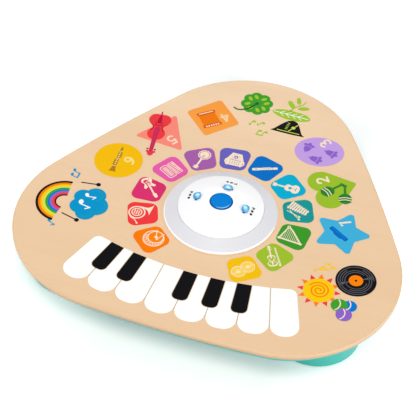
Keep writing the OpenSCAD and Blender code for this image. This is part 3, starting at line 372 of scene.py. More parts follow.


# rough goes from least to most, depth is that of the grain in metres, side is the painted light and painted
# shade colour of upright walls and steep the levelness at which it begins and ends, and rim holds the bands
# of painted shade and painted highlight for rimMasks
plastics = {
    "teal_plastic": {"color": (30, 190, 177), "tint": (20, 176, 163), "rough": (0.3, 0.42),
                     "depth": 0.00003, "coat": 0.3},
    "white_plastic": {"color": (252, 252, 253), "tint": (248, 248, 250), "rough": (0.20, 0.28)},
    # light ring: its upright walls are painted white as painted light against their shade, and the white band
    # along its front outer edge is a painted highlight
    "frosted_plastic": {"color": (224, 224, 229), "tint": (217, 217, 223), "rough": (0.28, 0.38),
                        "coat": 0.15, "side": (255, 255, 255), "steep": (0.35, 0.8),
                        "rim": [(0.978, 1.02, (255, 255, 255), -88, 0.1)]},
    # push button: its upright walls are painted darker as shade, the dark band round its edge is painted
    # shade, and the pale arc towards the lower right is a painted highlight
    "blue_plastic": {"color": (0, 128, 214), "tint": (0, 119, 204), "rough": (0.30, 0.38), "shine": 0.02,
                     "side": (0, 84, 170), "steep": (0.5, 0.9),
                     "rim": [(0.82, 1.0, (0, 76, 162)), (0.7, 0.82, (130, 206, 255), -58, 0.62)]},
    # slide knobs: their upright walls are painted darker as shade, the two dark bands on opposite sides are
    # painted shade, and the pale middle is a painted highlight
    "light_blue_plastic": {"color": (124, 208, 242), "tint": (96, 190, 232), "rough": (0.12, 0.2),
                           "coat": 0.2, "side": (24, 116, 180), "steep": (0.3, 0.92),
                           "rim": [(0.6, 1.5, (52, 150, 210), -150, 0.3),
                                   (0.66, 1.5, (52, 150, 210), 40, 0.4), (-0.4, 0.4, (196, 238, 252))]},
    "black_plastic": {"color": (34, 34, 36), "tint": (46, 46, 50), "rough": (0.4, 0.5)},
    "cream_plastic": {"color": (236, 232, 216), "tint": (222, 216, 196), "rough": (0.4, 0.5)},
    "rubber": {"color": (44, 46, 48), "tint": (58, 60, 62), "rough": (0.7, 0.85), "depth": 0.00005},
    "steel": {"color": (184, 188, 194), "tint": (160, 164, 170), "rough": (0.28, 0.4), "metal": 1.0},
    "green_board": {"color": (26, 104, 62), "tint": (20, 88, 50), "rough": (0.3, 0.4), "coat": 0.3},
    "copper_board": {"color": (190, 122, 70), "tint": (170, 104, 60), "rough": (0.35, 0.5), "metal": 0.6},
    "battery_wrap": {"color": (60, 112, 76), "tint": (48, 96, 64), "rough": (0.3, 0.4), "metal": 0.3},
    "wire_cover": {"color": (196, 36, 34), "tint": (176, 28, 28), "rough": (0.4, 0.5)},
    "speaker_paper": {"color": (36, 36, 38), "tint": (50, 50, 52), "rough": (0.8, 0.9), "depth": 0.00008},
}

inks = {
    "ink_white": (255, 255, 252), "ink_black": (10, 9, 13),
    "ink_tile_drum": (250, 122, 0), "ink_tile_horn": (240, 58, 62),
    "ink_tile_electric_guitar": (218, 48, 108), "ink_tile_accordion": (231, 92, 170),
    "ink_tile_banjo": (164, 94, 168), "ink_tile_organ": (102, 98, 188),
    "ink_tile_flute": (0, 110, 198), "ink_tile_guitar": (0, 173, 209),
    "ink_tile_xylophone": (22, 149, 148), "ink_tile_harp": (58, 150, 40),
    "ink_tile_violin": (156, 190, 44), "ink_tile_cymbals": (242, 190, 10),
    "ink_zone_square": (252, 160, 66), "ink_zone_triangle": (250, 138, 120), "ink_zone_circle": (246, 189, 6),
    "ink_zone_oval": (196, 160, 230), "ink_zone_heart": (154, 191, 42), "ink_zone_star": (62, 176, 218),
}


def dressCadNodes():
    materials = {"wood": woodMaterial(woodSet)}
    for name, values in plastics.items():
        materials[name] = plasticMaterial(name.replace("_", " "), values)
    for name, color in inks.items():
        materials[name] = inkMaterial(name, color)
    for part in frame["record"]["subparts"]:
        piece = nodes[part["node"]]
        piece.data.materials.clear()
        piece.data.materials.append(materials[part["material_slot"]])
    return materials


materials = dressCadNodes()
print("materials made:", len(materials))


traySet = {
    "postX": 0.060,      # the front posts, left and right of the middle
    "reach": 0.012,      # how far the webs run out from a post
    "front": -0.2,       # the front wall lies beyond this Y
    "proud": 0.00015,    # what stands out of the wall by more than this is a tip
    "rimDepth": 0.0001,  # of the corners at the top that give the line of the wall
    "weld": 0.000001,
    "smoothAngle": 35,   # degrees
}


def outwardOf(corners, place):
    # how far a place lies outside a closed line of corners that turns to the left
    return max((b - a).normalized().cross(a - place) for a, b in zip(corners, corners[1:] + corners[:1]))


def makeTray(values):
    # the tray again, with the tips of the posts' webs cut flush with its front wall
    shape = bmesh.new()
    shape.from_mesh(nodes["base_shell"].data)
    bmesh.ops.remove_doubles(shape, verts=shape.verts, dist=values["weld"])
    top = max(v.co.z for v in shape.verts)
    rim = [v.co.xy for v in shape.verts if v.co.z > top - values["rimDepth"]]
    corners = [rim[i] for i in convex_hull_2d(rim)]
    tips = [v for v in shape.verts if abs(abs(v.co.x) - values["postX"]) < values["reach"]
            and v.co.y < values["front"] and outwardOf(corners, v.co.xy) > values["proud"]]
    bmesh.ops.delete(shape, geom=tips, context="VERTS")
    around = [edge for edge in shape.edges if len(edge.link_faces) == 1]
    patches = bmesh.ops.holes_fill(shape, edges=around, sides=0)["faces"]
    patches = set(bmesh.ops.triangulate(shape, faces=patches)["faces"])
    bmesh.ops.recalc_face_normals(shape, faces=shape.faces)
    for face in shape.faces:
        face.smooth = face not in patches
    sharp = math.radians(values["smoothAngle"])
    for edge in shape.edges:
        edge.smooth = edge.calc_face_angle(0) < sharp and not patches & set(edge.link_faces)
    mesh = bpy.data.meshes.new("base_tray")
    shape.to_mesh(mesh)
    shape.free()
    mesh.materials.append(materials["teal_plastic"])
    tray = addObject("base_tray", mesh)
    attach(tray, tableBody)
    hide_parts("base_shell")


makeTray(traySet)
print("tray made")


# Printed pictures. Every shape is a flat outline in millimetres, x to the right and y away from
# the child, measured from the middle of the play centre, and is raised into a thin closed layer.
domeLow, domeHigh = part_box("dome_cover")
playCentreY = (domeLow.y + domeHigh.y) / 2
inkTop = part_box("tile_drum")[1].z
layerStep = 0.00006    # height of one layer of ink, metres
inkDepth = 0.00025     # how far a print reaches down into what it lies on

motifInks = {    # colour, and the finish slot that it belongs to
    "cream": ((250, 228, 200), "ink_cream"),
    "white": ((252, 252, 250), "ink_white"),
    "black": ((16, 14, 19), "ink_black"),
    "grey": ((92, 94, 100), "ink_black"),
    "deep orange": ((222, 100, 26), "ink_tile_drum"),
    "orange": ((250, 130, 2), "ink_tile_drum"),
    "red": ((238, 58, 64), "ink_tile_horn"),
    "crimson": ((190, 14, 60), "ink_deep"),
    "deep rose": ((204, 44, 88), "ink_deep"),
    "brown": ((178, 124, 30), "ink_deep"),
    "purple": ((140, 98, 200), "ink_tile_organ"),
    "mauve": ((168, 96, 178), "ink_tile_banjo"),
    "cobalt": ((2, 104, 196), "ink_tile_flute"),
    "blue": ((0, 120, 210), "ink_tile_flute"),
    "sky": ((2, 148, 202), "ink_tile_guitar"),
    "teal": ((26, 156, 182), "ink_tile_xylophone"),
    "leaf": ((62, 158, 44), "ink_tile_harp"),
    "forest": ((30, 100, 52), "ink_bright"),
    "fern": ((48, 134, 46), "ink_bright"),
    "lime": ((162, 200, 48), "ink_tile_violin"),
    "pale lime": ((206, 228, 84), "ink_bright"),
    "yellow": ((250, 200, 12), "ink_tile_cymbals"),
    "pale yellow": ((252, 218, 110), "ink_tile_cymbals"),
    "pale orange": ((253, 214, 166), "ink_cream"),
    "pale rose": ((252, 214, 188), "ink_cream"),
    "straw": ((252, 224, 138), "ink_cream"),
    "tan": ((204, 182, 158), "ink_deep"),
    "pale tan": ((228, 200, 168), "ink_deep"),
}


def polar(radius, angle, at=(0, 0)):
    turn = math.radians(angle)
    return (at[0] + radius * math.cos(turn), at[1] + radius * math.sin(turn))


def oval(at, across, along=None, turn=0, count=28):
    # a closed loop round a circle or an ellipse
    along = across if along is None else along
    circle = (polar(1, 360 * i / count) for i in range(count))
    return moved([(across * x, along * y) for x, y in circle], at, turn)


def moved(loop, at, turn, size=1.0):
    c, s = polar(size, turn)
    return [(at[0] + x * c - y * s, at[1] + x * s + y * c) for x, y in loop]


def block(at, width, length, rounding=0.6, turn=0):
    # a rectangle with rounded corners
    loop = []
    for cx, cy, first in ((1, 1, 0), (-1, 1, 90), (-1, -1, 180), (1, -1, 270)):
        middle = (cx * (width / 2 - rounding), cy * (length / 2 - rounding))
        loop += [polar(rounding, first + 30 * step, middle) for step in range(4)]
    return moved(loop, at, turn)


def between(a, b, c, d, t):
    # the share t of the way from b to c, along a smooth line through all four
    bent, twisted = 2 * a - 5 * b + 4 * c - d, 3 * b - a - 3 * c + d
    return 0.5 * (2 * b + (c - a) * t + bent * t * t + twisted * t ** 3)


def curve(points, closed=False, steps=5):
    # a smooth line through the points
    last = len(points) - 1
    made = []
    for i in range(last + closed):
        near = [(i + k) % (last + 1) if closed else min(max(i + k, 0), last) for k in (-1, 0, 1, 2)]
        numbers = list(zip(*(points[k] for k in near)))
        made += [tuple(between(*four, step / steps) for four in numbers) for step in range(steps)]
    return made if closed else made + [points[-1]]


def mirrored(points, x=1, y=1):
    # a smooth closed line from points on one side, whose first and last stand on the middle line
    return curve(points + [(px * x, py * y) for px, py in points[-2:0:-1]], closed=True)


def line(points, width, endWidth=None):
    # a round-ended stroke along the points, as one loop
    endWidth = width if endWidth is None else endWidth
    count = len(points)
    left, right = [], []
    for i, (x, y) in enumerate(points):
        px, py = points[max(i - 1, 0)]
        qx, qy = points[min(i + 1, count - 1)]
        length = math.hypot(qx - px, qy - py)
        nx, ny = -(qy - py) / length, (qx - px) / length
        half = (width + (endWidth - width) * i / (count - 1)) / 2
        left.append((x + nx * half, y + ny * half))
        right.append((x - nx * half, y - ny * half))
    return right + roundEnd(right[-1], left[-1]) + left[::-1] + roundEnd(left[0], right[0])


def roundEnd(start, end, count=5):
    # the points of a half circle from start to end, both left out
    cx, cy = (start[0] + end[0]) / 2, (start[1] + end[1]) / 2
    vx, vy = start[0] - cx, start[1] - cy
    loop = []
    for i in range(1, count):
        c, s = math.cos(math.pi * i / count), math.sin(math.pi * i / count)
        loop.append((cx + vx * c - vy * s, cy + vx * s + vy * c))
    return loop


def band(at, radius, width, first=0, last=360, count=30):
    # an arc of a ring
    reach = min(last - first, 359.9)
    return line([polar(radius, first + reach * i / count, at) for i in range(count + 1)], width)


def flare(start, end, narrow, wide, count=8):
    # a bell that widens from start to end
    dx, dy = end[0] - start[0], end[1] - start[1]
    length = math.hypot(dx, dy)
    nx, ny = -dy / length, dx / length
    left, right = [], []
    for i in range(count + 1):
        t = i / count
        x, y = start[0] + dx * t, start[1] + dy * t
        half = (narrow + (wide - narrow) * t ** 2.4) / 2
        left.append((x + nx * half, y + ny * half))
        right.append((x - nx * half, y - ny * half))
    return left + right[::-1]


def encloses(loop, x, y):
    # whether the loop runs round the point, counted by its turns
    turns = 0
    for (ax, ay), (bx, by) in zip(loop, loop[1:] + loop[:1]):
        if (ay <= y) != (by <= y):
            side = (bx - ax) * (y - ay) - (x - ax) * (by - ay)
            turns += 1 if ay <= y and side > 0 else -1 if ay > y and side < 0 else 0
    return turns != 0


def joined(add, cut):
    # triangles of all that the loops of add cover and those of cut don't
    points, edges = [], []
    for loop in add + cut:
        first, count = len(points), len(loop)
        points += [Vector(p) for p in loop]
        edges += [(first + i, first + (i + 1) % count) for i in range(count)]
    places, _, triangles = delaunay_2d_cdt(points, edges, [], 0, 0.002)[:3]
    kept = []
    for triangle in triangles:
        x, y = (sum(places[i][k] for i in triangle) / 3 for k in (0, 1))
        if any(encloses(loop, x, y) for loop in add) and not any(encloses(loop, x, y) for loop in cut):
            kept.append(triangle)
    return places, kept


def makePrint(name, ink, add, cut=(), layer=1, surface=None):
    # surface tells the height under a point; without it the print lies on the ink or the wood
    places, triangles = joined(list(add), list(cut))
    used = sorted({i for triangle in triangles for i in triangle})
    index = {old: new for new, old in enumerate(used)}
    count = len(used)
    verts = [[], []]
    for i in used:
        x, y = places[i][0] * mm, places[i][1] * mm + playCentreY
        ground = surface(x, y) if surface else inkTop
        for level, height in enumerate((ground - inkDepth, ground + layer * layerStep)):
            verts[level].append((x, y, height))
    faces = []
    directed = {(a, b) for t in triangles for a, b in zip(t, t[1:] + t[:1])}
    for a, b, c in triangles:
        faces.append((index[a] + count, index[b] + count, index[c] + count))
        faces.append((index[c], index[b], index[a]))
    for a, b in sorted(directed):
        if (b, a) not in directed:
            faces.append((index[a], index[b], index[b] + count, index[a] + count))
    mesh = bpy.data.meshes.new(name)
    mesh.from_pydata(verts[0] + verts[1], [], faces)
    mesh.validate()
    piece = addObject(name, mesh)
    color, slotName = motifInks[ink]
    if ink not in materials:
        materials[ink] = inkMaterial(ink, color)
    mesh.materials.append(materials[ink])
    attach(piece, tableBody)


def makePicture(name, layers, at, turn, size):
    # layers from the lowest up: the ink, the loops to add and, for some, the loops to cut
    for number, (ink, *shapes) in enumerate(layers, 1):
        placed = [[moved(loop, at, turn, size) for loop in loops] for loops in shapes]
        makePrint(f"{name}_{number}", ink, *placed, layer=number)


# the twelve tile pictures, each drawn about its own middle
def drumPicture():
    head, body = (1.6, 2), (-0.6, -0.8)
    ropes = [line([polar(10.2, a, head), polar(13.6, a + slant, body)], 0.8)
             for a in range(170, 331, 20) for slant in (-7, 7)]
    sticks = [line([(0, 14.5), (1.8, 4)], 1.5, 1.1), oval((2, 2.4), 2.2),
              line([(10.8, 9.4), (4.4, -0.4)], 1.3, 1), oval((4, -1), 1.6)]
    return [("cream", [oval(body, 14.4)], [oval(body, 13)]), ("cream", ropes),
            ("orange", [oval(head, 11)]), ("cream", [oval(head, 11)], [oval(head, 9.6)]),
            ("cream", sticks)]


def hornPicture():
    coil, small = (-1.5, -2), (-1.7, -1.6)
    pipe = [line(curve([(-9, -8), (-6, -12.4), (0, -15), (4.4, -19.4)]), 1.5, 1.2), oval((4.8, -19.8), 1.3)]
    rings = [band(coil, 10.2, 1.9), band(small, 6.4, 1.4)]
    valves = [block((-4.6 + 2.9 * i, -1.6), 1.5, 8.6 - 1.2 * abs(i - 1), 0.5) for i in range(3)]
    bell = [line(curve([(-2, 8), (3, 8.6), (7, 8.4)]), 2, 3), flare((6, 8.4), (15, 8), 3, 19)]
    return [("cream", rings + pipe + valves), ("cream", bell)]


def electricGuitarPicture():
    body = curve([(-13, 0), (-11.5, 6), (-6, 8), (-1, 5.2), (5.4, 9), (7.4, 6.4), (4.4, 1.8), (4, -1.8),
                  (7.6, -6), (5.6, -8.6), (-2, -5.6), (-7, -8.4), (-12, -5.6)], closed=True)
    neck = [line([(2, 0), (21, 0)], 2.9, 2.4)]
    head = [curve([(20, 1.4), (22.6, 3.4), (28.6, 2.8), (29, -0.8), (24, -2), (20, -1.4)], closed=True)]
    guard = curve([(-9.4, -1), (-5, 2.6), (2, 2.4), (3.4, -3), (-2, -4), (-7, -5.6)], closed=True)
    pickups = [block((x, -0.4), 1.5, 5, 0.4) for x in (-4.4, -0.6)]
    return [("cream", [body], [guard, oval((-9, 3.6), 0.9)]), ("cream", neck + head + pickups)]


def accordionPicture():
    case = [block((0, -6.2), 27, 13.4, 3.2)]
    inside = [block((0, -6.2), 24.4, 10.8, 2.2)]
    stops = [block((0, -6.2), 20, 7, 1.2)]
    stopGaps = [block((-8.2 + 2.75 * i, y), 1.65, 2.3, 0.4) for i in range(7) for y in (-7.9, -4.5)]
    keys = [block((-12 + 3 * i, 6.4), 1.1, 9.4, 0.3) for i in range(9)]
    rails = [block((0, y), 25.1, 1.2, 0.4) for y in (2.2, 11)]
    sharps = [block((-12 + 3 * i, 9), 2, 4.2, 0.3) for i in (1, 2, 4, 5, 6)]
    return [("cream", case, inside), ("cream", stops, stopGaps), ("cream", keys + rails + sharps)]


def banjoPicture():
    middle = (0, 9)
    rim = [oval(middle, 9.2), line([(0, 2), (0, -15)], 3, 2.5), block((0, -18), 4.8, 6.6, 1.3)]
    strings = [block((x, -3), 0.4, 24, 0.15) for x in (-0.8, 0.8)] + [block((0, 5.4), 4.6, 0.9, 0.3)]
    pegs = [oval((s * 3.3, y), 0.85) for s in (-1, 1) for y in (-16.6, -19.6)]
    hooks = [oval(polar(9.5, a, middle), 0.65) for a in range(20, 380, 30)]
    return [("cream", rim + hooks + pegs, [oval(middle, 7.8)]), ("cream", [oval(middle, 6.9)], strings)]


def concertinaPicture():
    shape = [(-6.4, 12), (6.4, 11.4), (11.8, -2.4), (9, -11.4), (-9.8, -11.4), (-12.4, -2)]
    grip = [line([shape[4], (-13, -6), shape[5]], 1.8), line([shape[3], (12.8, -6.6), shape[2]], 1.8)]
    dots = [oval((-6 + 3 * i, y), 0.7) for y in (-4.8, -8) for i in range(5)]
    flower = (-0.4, 4.6)
    cuts = [oval(flower, 2.7), block((0, -1.2), 16, 0.9, 0.3, -2)] + dots
    rays = [line([polar(4, a, flower), polar(5.6, a, flower)], 0.5) for a in range(0, 360, 45)]
    return [("cream", [shape] + grip, cuts + rays), ("cream", [oval(flower, 1.2)])]


def flutePicture():
    tube = [block((-11, 0), 12, 4.6, 1.4), block((2.4, 0), 15.4, 4, 0.7), block((13.8, 0), 7, 4.2, 1.3)]
    holes = [oval((-11.8, 0), 1.7, 0.7)] + [oval((-2.4 + 2.4 * i, 0.2), 0.6) for i in range(5)]
    rests = [block((-2.4 + 2.4 * i, 2.4), 0.9, 1.4, 0.3) for i in range(5)]
    return [("cream", tube + rests, holes)]


def guitarPicture():
    body = mirrored([(-13, 0), (-11, 6.8), (-5, 8.6), (0, 5.6), (4.6, 6.8), (8.6, 4.6), (9.4, 0)], y=-1)
    neck = [line([(8, 0), (22, 0)], 3, 2.5), block((25, 0), 6, 4.8, 1.4)]
    cuts = [oval((1.6, 0), 2.6), block((-7.4, 0), 1.3, 7.6, 0.5), block((-3.4, 0), 6, 0.8, 0.3)]
    pegs = [oval((x, s * 3), 0.75) for s in (-1, 1) for x in (23.4, 25.2, 27)]
    return [("cream", [body] + neck + pegs, cuts)]


def xylophonePicture():
    bars = [block((-13 + 3.7 * i, 4), 2.5, 16.4 - 0.8 * i, 0.6) for i in range(8)]
    rails = [line([(-15.4, 9.2), (15, 7)], 1.1), line([(-15.4, -1.2), (15, 1)], 1.1)]
    mallets = [line([(-11, -8.4), (8, -8.6)], 1), oval((9.4, -8.6), 1.7),
               line([(-8, -6), (10.6, -12.4)], 1), oval((11.8, -12.8), 1.7)]
    screws = [oval((-13 + 3.7 * i, y), 0.5) for i in range(8) for y in (8.2, -0.2)]
    return [("cream", rails), ("cream", bars + mallets, screws)]


def harpPicture():
    top, low, far = (-8.4, 12.4), (-14.6, -9.6), (14.6, -10.6)
    frames = [line([top, low], 1.7), line([low, far], 2.2),
              line(curve([top, (-3, 8.6), (3, 2.4), far]), 1.9), oval(top, 2.3), oval(low, 2), oval(far, 1.7)]
    ends = (-2, 6, 10, 9, 7, 5, 2, 0, -3, -5, -8)
    strings = [line([(x, -9.6), (x, y)], 0.6) for x, y in ((-12 + 2.4 * i, y) for i, y in enumerate(ends))]
    return [("cream", frames + strings, [oval(top, 1)])]


def violinPicture():
    body = mirrored([(-13, 0), (-11.4, 5), (-7, 6), (-4.6, 4), (-1.6, 3.8), (0.6, 5), (4.2, 4), (5.6, 0)],
                    y=-1)
    hollow = [moved(body, (-0.6, 0), 0, 0.8)]
    neck = [line([(1, 0), (17, 0)], 2, 1.7), oval((18.8, 0), 1.8), line([(-9.6, 0), (-5, 0)], 1.6, 2.4)]
    pegs = [line([(x, -2.4), (x, 2.4)], 0.8) for x in (14.4, 16.6)]
    soundHoles = [line(curve([(-6.4, s * 2.7), (-4, s * 1.8), (-1, s * 2.3)]), 0.8) for s in (-1, 1)]
    bow = [line([(-13, -9), (16, -7.4)], 1.3, 1), line([(-12, -7.4), (15, -6.4)], 0.6),
           block((-12, -8.2), 2.8, 2.4, 0.6, 4), line([(16, -7.6), (16.2, -5.8)], 1)]
    return [("cream", [body], hollow), ("cream", neck + pegs + bow + soundHoles)]


def cymbalsPicture():
    high, low = (4.4, 5.6), (-3.8, -5.6)
    discs = [oval(high, 9), oval(low, 9)]
    grooves = [band(at, r, 0.7) for at in (high, low) for r in (6.9, 4.6)]
    domes = [oval(at, 1.7) for at in (high, low)]
    straps = [line(curve([high, (8, 10), (11, 12)]), 0.9), line(curve([low, (-7, -10), (-11, -12.4)]), 0.9)]
    rims = [band(at, 8.6, 0.8) for at in (high, low)]
    return [("pale yellow", discs, grooves), ("cream", rims + domes + straps)]


tilePictures = {    # each drawing's place in mm, turn in degrees and size
    "drum": (drumPicture, (-61.3, -69), 4, 0.92),
    "horn": (hornPicture, (-94.5, -34), 0, 0.95),
    "electric_guitar": (electricGuitarPicture, (-99.6, 14.6), -48, 0.86),
    "accordion": (accordionPicture, (-81.5, 48.6), -30, 0.86),
    "banjo": (banjoPicture, (-52.6, 80.4), -9, 0.88),
    "concertina": (concertinaPicture, (-12.2, 94.2), 3, 0.96),
    "flute": (flutePicture, (27.4, 91.5), 23, 0.94),
    "guitar": (guitarPicture, (68.4, 70.4), 180, 0.84),
    "xylophone": (xylophonePicture, (86.6, 36.6), -17, 0.88),
    "harp": (harpPicture, (93.6, -5.6), -2, 0.96),
    "violin": (violinPicture, (81.4, -50.4), 118, 1.0),
    "cymbals": (cymbalsPicture, (54.6, -79), 0, 0.98),
}
for name, (draw, at, turn, size) in tilePictures.items():
    makePicture("picture_" + name, draw(), at, turn, size)
print("tile pictures made:", len(tilePictures))


def boxAccordion():
    pleats = [block((-8.4 + 2.4 * i, 0), 1.7, 25, 0.4) for i in range(8)]
    bellows = [block((0, 0), 21, 23.4, 0.6)]
    ends = [block((x, 0), 5.4, 27, 1.2) for x in (-13, 13)]
    stops = [block((13.2, -8.8 + 3.5 * i), 3, 2, 0.4) for i in range(6)]
    return [("deep orange", bellows), ("orange", pleats), ("deep orange", ends),
            ("cream", [block((-13.2, 0), 1.6, 21, 0.5)] + stops)]


def celloPicture():
    # drawn upright, with the scroll up
    body = mirrored([(0, -26), (-11, -24.4), (-15.6, -15), (-12.4, -6.6), (-8.4, -3.4), (-7.4, 2.4),
                     (-10.6, 6.6), (-12.4, 13), (-9, 21.6), (0, 25.4)], x=-1)
    fingerboard = [line([(0, 3), (0, 47)], 7.6, 5.2)]
    scroll = [curve([(-2.6, 47), (-4.2, 53), (0, 57.4), (4.2, 53), (2.6, 47)], closed=True)]
    tail = [curve([(-1.6, -22), (-3, -9), (0, -7.6), (3, -9), (1.6, -22)], closed=True),
            line([(0, -22), (0, -31)], 1.6)]
    bridge = [block((0, -3.4), 8.4, 1.5, 0.5)]
    waist = [line(curve([(s * 9.2, 7.6), (s * 6.6, 2.6), (s * 7.4, -2.6), (s * 10.6, -6)]), 1.7, 1.2)
             for s in (-1, 1)]
    soundHoles = [line(curve([(s * 5.4, -10), (s * 4, -6.4), (s * 5.4, -3)]), 1) for s in (-1, 1)]
    pegs = [oval((s * 5, y), 1.5) for s in (-1, 1) for y in (44.4, 49)]
    return [("red", [body] + scroll), ("crimson", tail + bridge + pegs + waist + soundHoles),
            ("deep rose", fingerboard)]


def clarinetPicture():
    tube = [line([(0, 22), (0, 15)], 2.4, 3.8), line([(0, 15), (0, -14)], 4.4, 4.8),
            flare((0, -13), (0, -24), 5, 10)]
    rings = [block((0, y), 5.2, 1.1, 0.4) for y in (15, 1, -13.4)]
    keys = [oval((0, y), 1.15) for y in (11.4, 7.8, 4.2, -2, -5.6, -9.2)]
    rods = [line([(3, 12), (3, 3)], 0.9), line([(-3, -1), (-3, -11)], 0.9)]
    return [("brown", tube + rods), ("straw", rings + keys)]


def bellPicture():
    shell = curve([(-1.2, 8.4), (-4.4, 6), (-6, -1), (-8.6, -6.4), (0, -7.8), (8.6, -6.4), (6, -1),
                   (4.4, 6), (1.2, 8.4)], closed=True)
    return [("purple", [shell, oval((0, 9.4), 1.9), oval((0, -8.6), 2.3)],
             [band((0, 22), 25, 1, 252, 288, 8), oval((0, 9.4), 0.9)])]


def maracaPicture():
    head = oval((0, 0), 9.4, 10.2)
    handle = [line([(0, -8), (0, -24)], 4, 3.4), oval((0, -25), 3.1)]
    bands = [line(curve([(-8.6, y), (0, y - 1.8), (8.6, y)]), 1.4) for y in (3.8, -0.6)]
    lines = [line(curve([(-8.2, 6.4), (0, 4.8), (8.2, 6.4)]), 0.9),
             line(curve([(-8.4, -4), (0, -6), (8.4, -4)]), 0.9)]
    return [("fern", [head] + handle), ("cream", bands), ("forest", lines)]


def harmonicaPicture():
    case = [block((0, 0), 29, 6.4, 2), block((1, -3.4), 13, 3, 1.2)]
    holes = [block((-10.4 + 2.3 * i, 0.6), 1.2, 1.5, 0.3) for i in range(10)]
    return [("cobalt", case), ("sky", holes)]


zonePictures = {    # each drawing's place in mm, turn in degrees and size
    "accordion_large": (boxAccordion, (-67.5, 153), -50, 0.92),
    "cello": (celloPicture, (-124, 115), 188, 0.93),
    "clarinet": (clarinetPicture, (-151.5, 42.5), 3, 0.95),
    "bell_1": (bellPicture, (67, 148), 172, 0.85),
    "bell_2": (bellPicture, (97.5, 148), 76, 0.85),
    "bell_3": (bellPicture, (82, 131), 84, 0.85),
    "maraca_left": (maracaPicture, (112.5, 81.5), 143, 0.88),
    "maraca_right": (maracaPicture, (136.6, 77), 197, 0.88),
    "harmonica": (harmonicaPicture, (145.6, 17.2), -31, 1.0),
}
for name, (draw, at, turn, size) in zonePictures.items():
    makePicture(name, draw(), at, turn, size)

numberWidth = 2.7
numberStrokes = {    # in a box 8 wide and 14 high
    1: [[(-3, 4), (1.2, 7), (1.2, -7)]],
    2: [curve([(-4, 3.6), (-2.8, 6.4), (0.4, 7), (3.4, 5.4), (3.4, 2), (0, -2.6), (-4, -6.6)]),
        [(-4, -6.6), (4.4, -6.6)]],
    3: [curve([(-3.6, 5.2), (0, 7), (3.4, 5), (2.8, 1.8), (-0.6, 0.4)]),
        curve([(-0.6, 0.4), (3.4, -0.9), (4, -4.6), (0.6, -7), (-4, -5.2)])],
    4: [[(2, -7), (2, 7)], [(2, 7), (-4.2, -2.8)], [(-4.2, -2.8), (4.8, -2.8)]],
    5: [[(3.6, 6.6), (-2.8, 6.6)], [(-2.8, 6.6), (-3.3, 0.6)],
        curve([(-3.3, 0.6), (0.4, 1.8), (3.7, -0.6), (3.6, -4.6), (0.2, -7), (-3.8, -5.6)])],
    6: [curve([(3, 6.4), (-1, 4.8), (-3.5, 0.8), (-3.6, -3.2), (-0.2, -7), (3.6, -4.2), (2.8, -0.6),
               (-0.4, 0.6), (-3.3, -1.8)])],
}
zoneNumbers = {      # place, turn and ink of the number beside each zone
    4: ((-49, 163), -132, "pale orange"),
    5: ((-99, 99.5), -125, "pale rose"),
    6: ((-136, 45), -108, "straw"),
    3: ((86, 163), 150, "cream"),
    2: ((101.4, 98), 125, "cream"),
    1: ((147.8, 36.6), 118, "cream"),
}
for digit, (at, turn, ink) in zoneNumbers.items():
    strokes = [moved(line(path, numberWidth), at, turn) for path in numberStrokes[digit]]
    makePrint(f"number_{digit}", ink, strokes)
print("zone pictures made:", len(zonePictures))


# free motifs beside the zones, printed straight on the wood in up to four layers
def eighthNote(at, turn, size):
    loops = [oval((-1.6, -4.4), 2.6, 2, 20, 16), line([(0.6, -4), (0.6, 5)], 1.1),
             line([(0.6, 5), (3.8, 2.4)], 1.5, 0.9)]
    return [moved(loop, at, turn, size) for loop in loops]


def pairedNotes(at, turn, size):
    loops = [oval((-5.4, -4.4), 2.6, 2, 20, 16), oval((3, -3), 2.6, 2, 20, 16),
             line([(-3.2, -4), (-3.2, 5)], 1.1), line([(5.2, -2.6), (5.2, 6.4)], 1.1),
             line([(-3.2, 4.6), (5.2, 6)], 2)]
    return [moved(loop, at, turn, size) for loop in loops]


def makeSkyMotif():
    # a rainbow behind a cloud, at the left
    middle = (-186, -50)
    makePrint("rainbow_edge", "black", [band(middle, 33.4, 3.2, 96, 264, 40),
                                        band(middle, 11, 2.4, 96, 264, 24)])
    width = 2.9
    for number, ink in enumerate(("orange", "yellow", "pale lime", "leaf", "blue", "mauve", "red")):
        arc = band(middle, 30.4 - width * number, width, 97, 263, 36)
        makePrint(f"rainbow_{number + 1}", ink, [arc], layer=2)
    cloud = [oval((-153, -28), 13), oval((-147, -44), 15.5), oval((-155, -58), 12.5), oval((-166, -50), 12),
             oval((-167, -34), 11.5)]
    makePrint("cloud", "sky", cloud, layer=3)
    curls = [band((-153, -28), 8.4, 1.6, -60, 110, 16), band((-146, -44), 10.6, 1.6, -80, 60, 16),
             band((-155, -58), 7.8, 1.6, -120, 20, 16)]
    makePrint("cloud_curls", "teal", curls, layer=4)
    notes = eighthNote((-160, -47), -100, 1.5) + eighthNote((-158, -31), -80, 1.2)
    makePrint("cloud_notes", "white", notes, layer=4)
    small = pairedNotes((-191, -0.5), -100, 0.95) + eighthNote((-187, -88), -110, 1.1)
    makePrint("sky_notes", "sky", small)
    dots = []
    for start, end in (((-178, -12), (-157, -8.5)), ((-181, -69), (-160, -74))):
        dots += [oval(end, 2.9), line([start, end], 1.4)]
    makePrint("sky_dots", "black", dots)


